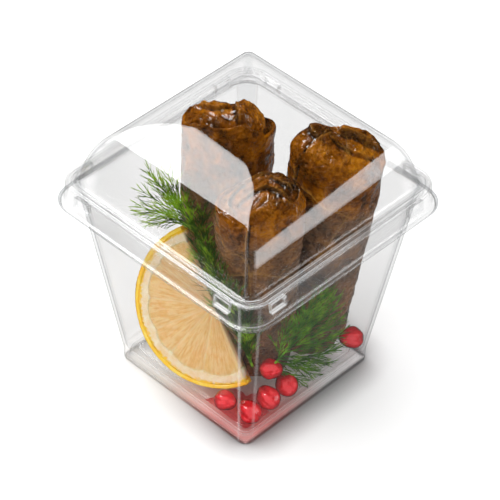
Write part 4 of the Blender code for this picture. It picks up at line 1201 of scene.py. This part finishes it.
# many tubes at once: chains (n, k, 3) with radii (n, k), each point ringed by sides set square to its chain
def sweptTubes(chains, radii, sides):
    along = np.gradient(chains, axis=1)
    along /= np.maximum(np.linalg.norm(along, axis=-1, keepdims=True), 1e-9)
    helper = np.where(np.abs(along[..., 2:3]) < 0.8, np.array([0.0, 0.0, 1.0]), np.array([1.0, 0.0, 0.0]))
    first = np.cross(along, helper)
    first /= np.maximum(np.linalg.norm(first, axis=-1, keepdims=True), 1e-9)
    second = np.cross(along, first)
    turns = np.linspace(0, 2 * math.pi, sides, endpoint=False)
    turns = turns[None, None, :, None]
    ring = first[:, :, None] * np.cos(turns) + second[:, :, None] * np.sin(turns)
    points = chains[:, :, None] + ring * radii[:, :, None, None]
    n, k = chains.shape[:2]
    one, ends = tubeFaces(k, sides)
    starts = (np.arange(n) * k * sides)[:, None]
    quads = (one[None] + starts[:, :, None]).reshape(-1, 4)
    caps = list(starts + ends[0]) + list(starts + ends[1])
    return points.reshape(-1, 3), quads, caps


# a stem, its fronds, and thread leaves that leave a frond forwards in pairs and fork; bareApart is
# the share of a frond that is bare, and the mm from pair to pair
def makeDill(name, material):
    s, common, viewer = dillShapes[name], dillCommon, dillCommon["viewer"]
    rng = np.random.default_rng(s["seed"])
    steps = common["steps"]
    stem = smoothCurve(s["route"], steps)
    longChains, longRadii, threads, widths = [stem], [np.linspace(common["stem"], 0.3, steps)], [], []
    k = np.linspace(0, 1, 5)[:, None]
    for share, tip, *via in s["fronds"]:
        start, tip = stem[int(share * (steps - 1))], np.array(tip)
        length = np.linalg.norm(tip - (via[0] if via else start))
        middle = np.array(via[0]) if via else start + 0.5 * (tip - start) + rng.normal(0, 0.04 * length, 3)
        frond = smoothCurve([start, middle, tip], steps)
        longChains.append(frond)
        longRadii.append(np.linspace(common["rib"], 0.1, steps))
        bare, apart = common["bareApartFar"] if via else common["bareApart"]
        for place in np.arange(bare, 1.0, apart / length):
            index = min(steps - 2, int(place * (steps - 1)))
            heading = frond[index + 1] - frond[index]
            heading /= np.linalg.norm(heading)
            side = np.cross(heading, viewer)
            side /= max(np.linalg.norm(side), 1e-6)
            for way in (-1, 1):
                reach = 4.2 + 3.8 * math.sin(math.pi * min(1, 0.3 + 0.7 * place))
                reach = min(reach * rng.uniform(0.7, 1.2), length * 0.5)
                away = heading + side * way * rng.uniform(0.2, 0.65) + viewer * rng.uniform(-0.25, 0.25)
                away /= np.linalg.norm(away)
                thread = frond[index] + away * reach * k + heading * 0.2 * reach * k * k
                threads.append(thread)
                widths.append(np.linspace(s["thread"], common["tip"], 5))
                for fork in (0.3, 0.55):
                    twig = thread[0] + (thread[-1] - thread[0]) * fork
                    off = away + side * rng.uniform(-0.5, 0.5) + viewer * rng.uniform(-0.3, 0.3)
                    off /= np.linalg.norm(off)
                    threads.append(twig + off * reach * 0.5 * k)
                    widths.append(np.linspace(s["thread"] * 0.85, common["tip"], 5))
    stems, stemQuads, stemCaps = sweptTubes(np.array(longChains), np.array(longRadii), 8)
    leaves, leafQuads, leafCaps = sweptTubes(np.array(threads), np.array(widths), 4)
    points = np.concatenate([stems, leaves])
    # keep every thread inside the cup's wall and the lid, and off the floor
    z = points[:, 2]
    limit = np.where(z < 76, cupWallAt(z) - boxShape["cupWall"] - common["clear"], 36.0)
    points[:, 0] = np.clip(points[:, 0], -limit, limit)
    points[:, 1] = np.clip(points[:, 1], -limit, limit)
    points[:, 2] = np.maximum(z, 5.25)
    quads = np.concatenate([stemQuads, leafQuads + len(stems)])
    caps = stemCaps + [cap + len(stems) for cap in leafCaps]
    return buildPiece(name + "Leaves", points, quads, caps, material)


# dill, fresh: soft matt green threads, darker stems
def dillMaterial(tones):
    material, tree = newMaterial("dill leaf, fresh")
    coords = addNode(tree, "TexCoord", output="Object")
    noise = addNode(tree, "TexNoise", {"Vector": coords, "Scale": 260.0, "Detail": 3.0}, "Fac")
    # the fronds that stand out to the left, towards the light, are painted lighter and yellower: painted
    # light
    place = addNode(tree, "SeparateXYZ", {0: coords}, "X")
    out = addNode(tree, "MapRange", {0: place, 1: -0.012, 2: -0.022, 3: 0.0, 4: 0.14})
    toneAndPaintedLight = addNode(tree, "Math", {0: noise, 1: out}, operation="ADD")
    color = addNode(tree, "ValToRGB", {"Fac": toneAndPaintedLight}, stops=list(zip((0.3, 0.5, 0.7), tones)))
    shader = addNode(tree, "BsdfPrincipled", {
        "Base Color": color, "Roughness": 0.5, "IOR": 1.42, "Subsurface Weight": 0.2,
        "Subsurface Scale": 0.0008,
    })
    addNode(tree, "OutputMaterial", {"Surface": shader})
    return material


print("dill")
for dillName, shape in dillShapes.items():
    piece = makeDill(dillName, dillMaterial(shape["tones"]))
    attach(piece, "root")
    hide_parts(dillName)


# the light and the paper, with places in mm: fill is the light from all sides, room is what is left of
# it where things mirror it, and paper is how white the floor is. What the room and the paper give to
# mirrored rays is kept low, because it would veil the food behind the film
studio = {
    "fill": 0.8, "room": 0.012, "paper": 0.855,
    "softboxes": {
        "keySoftbox": {"at": (-323.0, -37.0, 502.0), "size": (622.0, 620.0), "radiance": 6.4, "aim": 60},
        "topSoftbox": {"at": (-260.0, -145.0, 760.0), "size": (1300.0, 1300.0), "radiance": 1.84, "aim": 40},
        "glintLamp": {"at": (-290.0, -150.0, 540.0), "size": (230.0, 230.0), "radiance": 24.0, "aim": 60},
    },
    "panel": ((284, 119, 8), (286, 116, 110), (212, 224, 240), (226, 204, 72)),
    "panelRadiance": 4.4,
}

world = bpy.data.worlds.new("studio")
bpy.context.scene.world = world
world.use_nodes = True
# the room is dark where things mirror it, and lights matt things softly from all sides
sky = world.node_tree
mirrored = addNode(sky, "LightPath", output="Is Glossy Ray")
strength = addNode(sky, "MapRange", {0: mirrored, 3: studio["fill"], 4: studio["room"]})
sky.nodes["Background"].inputs["Color"].default_value = (1, 1, 1, 1)
sky.links.new(strength, sky.nodes["Background"].inputs["Strength"])


# a rectangular softbox that looks at a height over the middle of the floor; its width runs along
# the y axis, and its power is its radiance times pi times its area
def addSoftbox(name):
    box = studio["softboxes"][name]
    wide, high = box["size"]
    data = bpy.data.lights.new(name, "AREA")
    data.shape = "RECTANGLE"
    data.size, data.size_y = wide * mm, high * mm
    data.energy = box["radiance"] * math.pi * wide * high * mm * mm
    light = bpy.data.objects.new(name, data)
    at, aim = Vector(box["at"]) * mm, Vector((0, 0, box["aim"])) * mm
    back = (at - aim).normalized()
    across = Vector((0, 1, 0))
    across = (across - back * across.dot(back)).normalized()
    turned = Matrix((across, back.cross(across), back)).transposed().to_4x4()
    light.matrix_world = Matrix.Translation(at) @ turned
    collection.objects.link(light)
    return light


# a light that shines on some pieces only
def linkLight(light, pieces):
    receivers = bpy.data.collections.new(light.name + "Receivers")
    for piece in pieces:
        receivers.objects.link(piece)
    light.light_linking.receiver_collection = receivers


# the softbox that the lid mirrors shines on the film alone, a small lamp makes the glints on wet
# food, and the top light is seen by no mirrored ray
key = addSoftbox("keySoftbox")
key.visible_diffuse = False
top = addSoftbox("topSoftbox")
top.visible_glossy = False
lamp = addSoftbox("glintLamp")
lamp.visible_diffuse = False
film = [lidShell, cupShell]
linkLight(key, film)
linkLight(lamp, [piece for piece in collection.objects if piece.type == "MESH" and piece not in film])
panelMesh = bpy.data.meshes.new("bouncePanel")
panelMesh.from_pydata([tuple(c * mm for c in corner) for corner in studio["panel"]], [], [(0, 1, 2, 3)])
panel = bpy.data.objects.new("bouncePanel", panelMesh)
collection.objects.link(panel)
glow, tree = newMaterial("lit bounce panel")
shine = addNode(tree, "Emission", {"Strength": studio["panelRadiance"]})
addNode(tree, "OutputMaterial", {"Surface": shine})
panelMesh.materials.append(glow)
panel.visible_diffuse, panel.visible_shadow, panel.visible_camera = False, False, False

floorMesh = bpy.data.meshes.new("paperSweep")
floorMesh.from_pydata([(-2, -2, 0), (2, -2, 0), (2, 2, 0), (-2, 2, 0)], [], [(0, 1, 2, 3)])
floor = bpy.data.objects.new("paperSweep", floorMesh)
collection.objects.link(floor)
paper, tree = newMaterial("white paper, matt")
mirrored = addNode(tree, "LightPath", output="Is Glossy Ray")
coords = addNode(tree, "TexCoord", output="Object")
reach = addNode(tree, "VectorMath", {0: coords}, "Value", operation="LENGTH")
# to mirrored rays the paper is a painted pool of light: 0.3 within about 110 mm of the middle, fading to
# 0.02 beyond 170 mm
paintedMirrorPool = addNode(tree, "MapRange", {0: reach, 1: 0.11, 2: 0.17, 3: 0.3, 4: 0.02})
# round the foot the paper darkens, by how much of the side that the light comes from is hidden within 13 mm
square = addNode(tree, "VectorMath", {0: coords}, operation="ABSOLUTE")
x, y, _ = addNode(tree, "SeparateXYZ", {0: square}).node.outputs
outside = addNode(tree, "Math", {0: x, 1: y}, operation="MAXIMUM")
outside = addNode(tree, "MapRange", {0: outside, 1: 0.0275, 2: 0.0285})
# the light comes from the left, so the left side of the box keeps none of this
rightward = addNode(tree, "VectorMath", {0: coords, 1: toRight}, "Value", operation="DOT_PRODUCT")
rightward = addNode(tree, "MapRange", {0: rightward, 1: -0.034, 2: -0.004})
outside = addNode(tree, "Math", {0: outside, 1: rightward}, operation="MULTIPLY")
hidden = addNode(tree, "AmbientOcclusion", {"Distance": 0.013, "Normal": (-0.84, -0.42, 0.34)}, "AO")
hidden = addNode(tree, "MapRange", {0: hidden, 1: 0.35, 2: 0.95, 3: 0.17, 4: studio["paper"]})
plain = addNode(tree, "Mix", {0: outside, 2: studio["paper"], 3: hidden}, data_type="FLOAT")
tone = addNode(tree, "Mix", {0: mirrored, 2: plain, 3: paintedMirrorPool}, data_type="FLOAT")
shader = addNode(tree, "BsdfDiffuse", {"Color": tone})
addNode(tree, "OutputMaterial", {"Surface": shader})
floorMesh.materials.append(paper)

# the camera's place, turn and lens come from lining the box's corners up with the photograph
cameraFit = {
    "at": (408.32, -427.74, 594.47), "azimuth": 43.67, "elevation": 42.73, "roll": 1.34,
    "lens": 180.73, "sensor": 36.0, "shift": (0.0057, -0.0001), "clip": (0.01, 20.0),
}
cameraData = bpy.data.cameras.new("camera")
cameraData.lens = cameraFit["lens"]
cameraData.sensor_width = cameraFit["sensor"]
cameraData.shift_x, cameraData.shift_y = cameraFit["shift"]
cameraData.clip_start, cameraData.clip_end = cameraFit["clip"]
camera = bpy.data.objects.new("camera", cameraData)
azimuth, elevation, roll = (math.radians(cameraFit[turn]) for turn in ("azimuth", "elevation", "roll"))
level = math.cos(elevation)
back = Vector((math.sin(azimuth) * level, -math.cos(azimuth) * level, math.sin(elevation)))
right = Vector((math.cos(azimuth), math.sin(azimuth), 0))
up = back.cross(right)
rolledRight = right * math.cos(roll) + up * math.sin(roll)
rolledUp = -right * math.sin(roll) + up * math.cos(roll)
turned = Matrix((rolledRight, rolledUp, back)).transposed().to_4x4()
camera.matrix_world = Matrix.Translation(Vector(cameraFit["at"]) * mm) @ turned
collection.objects.link(camera)
bpy.context.scene.camera = camera
bpy.context.scene.view_settings.view_transform = "Standard"
bpy.context.scene.cycles.transparent_max_bounces = 40
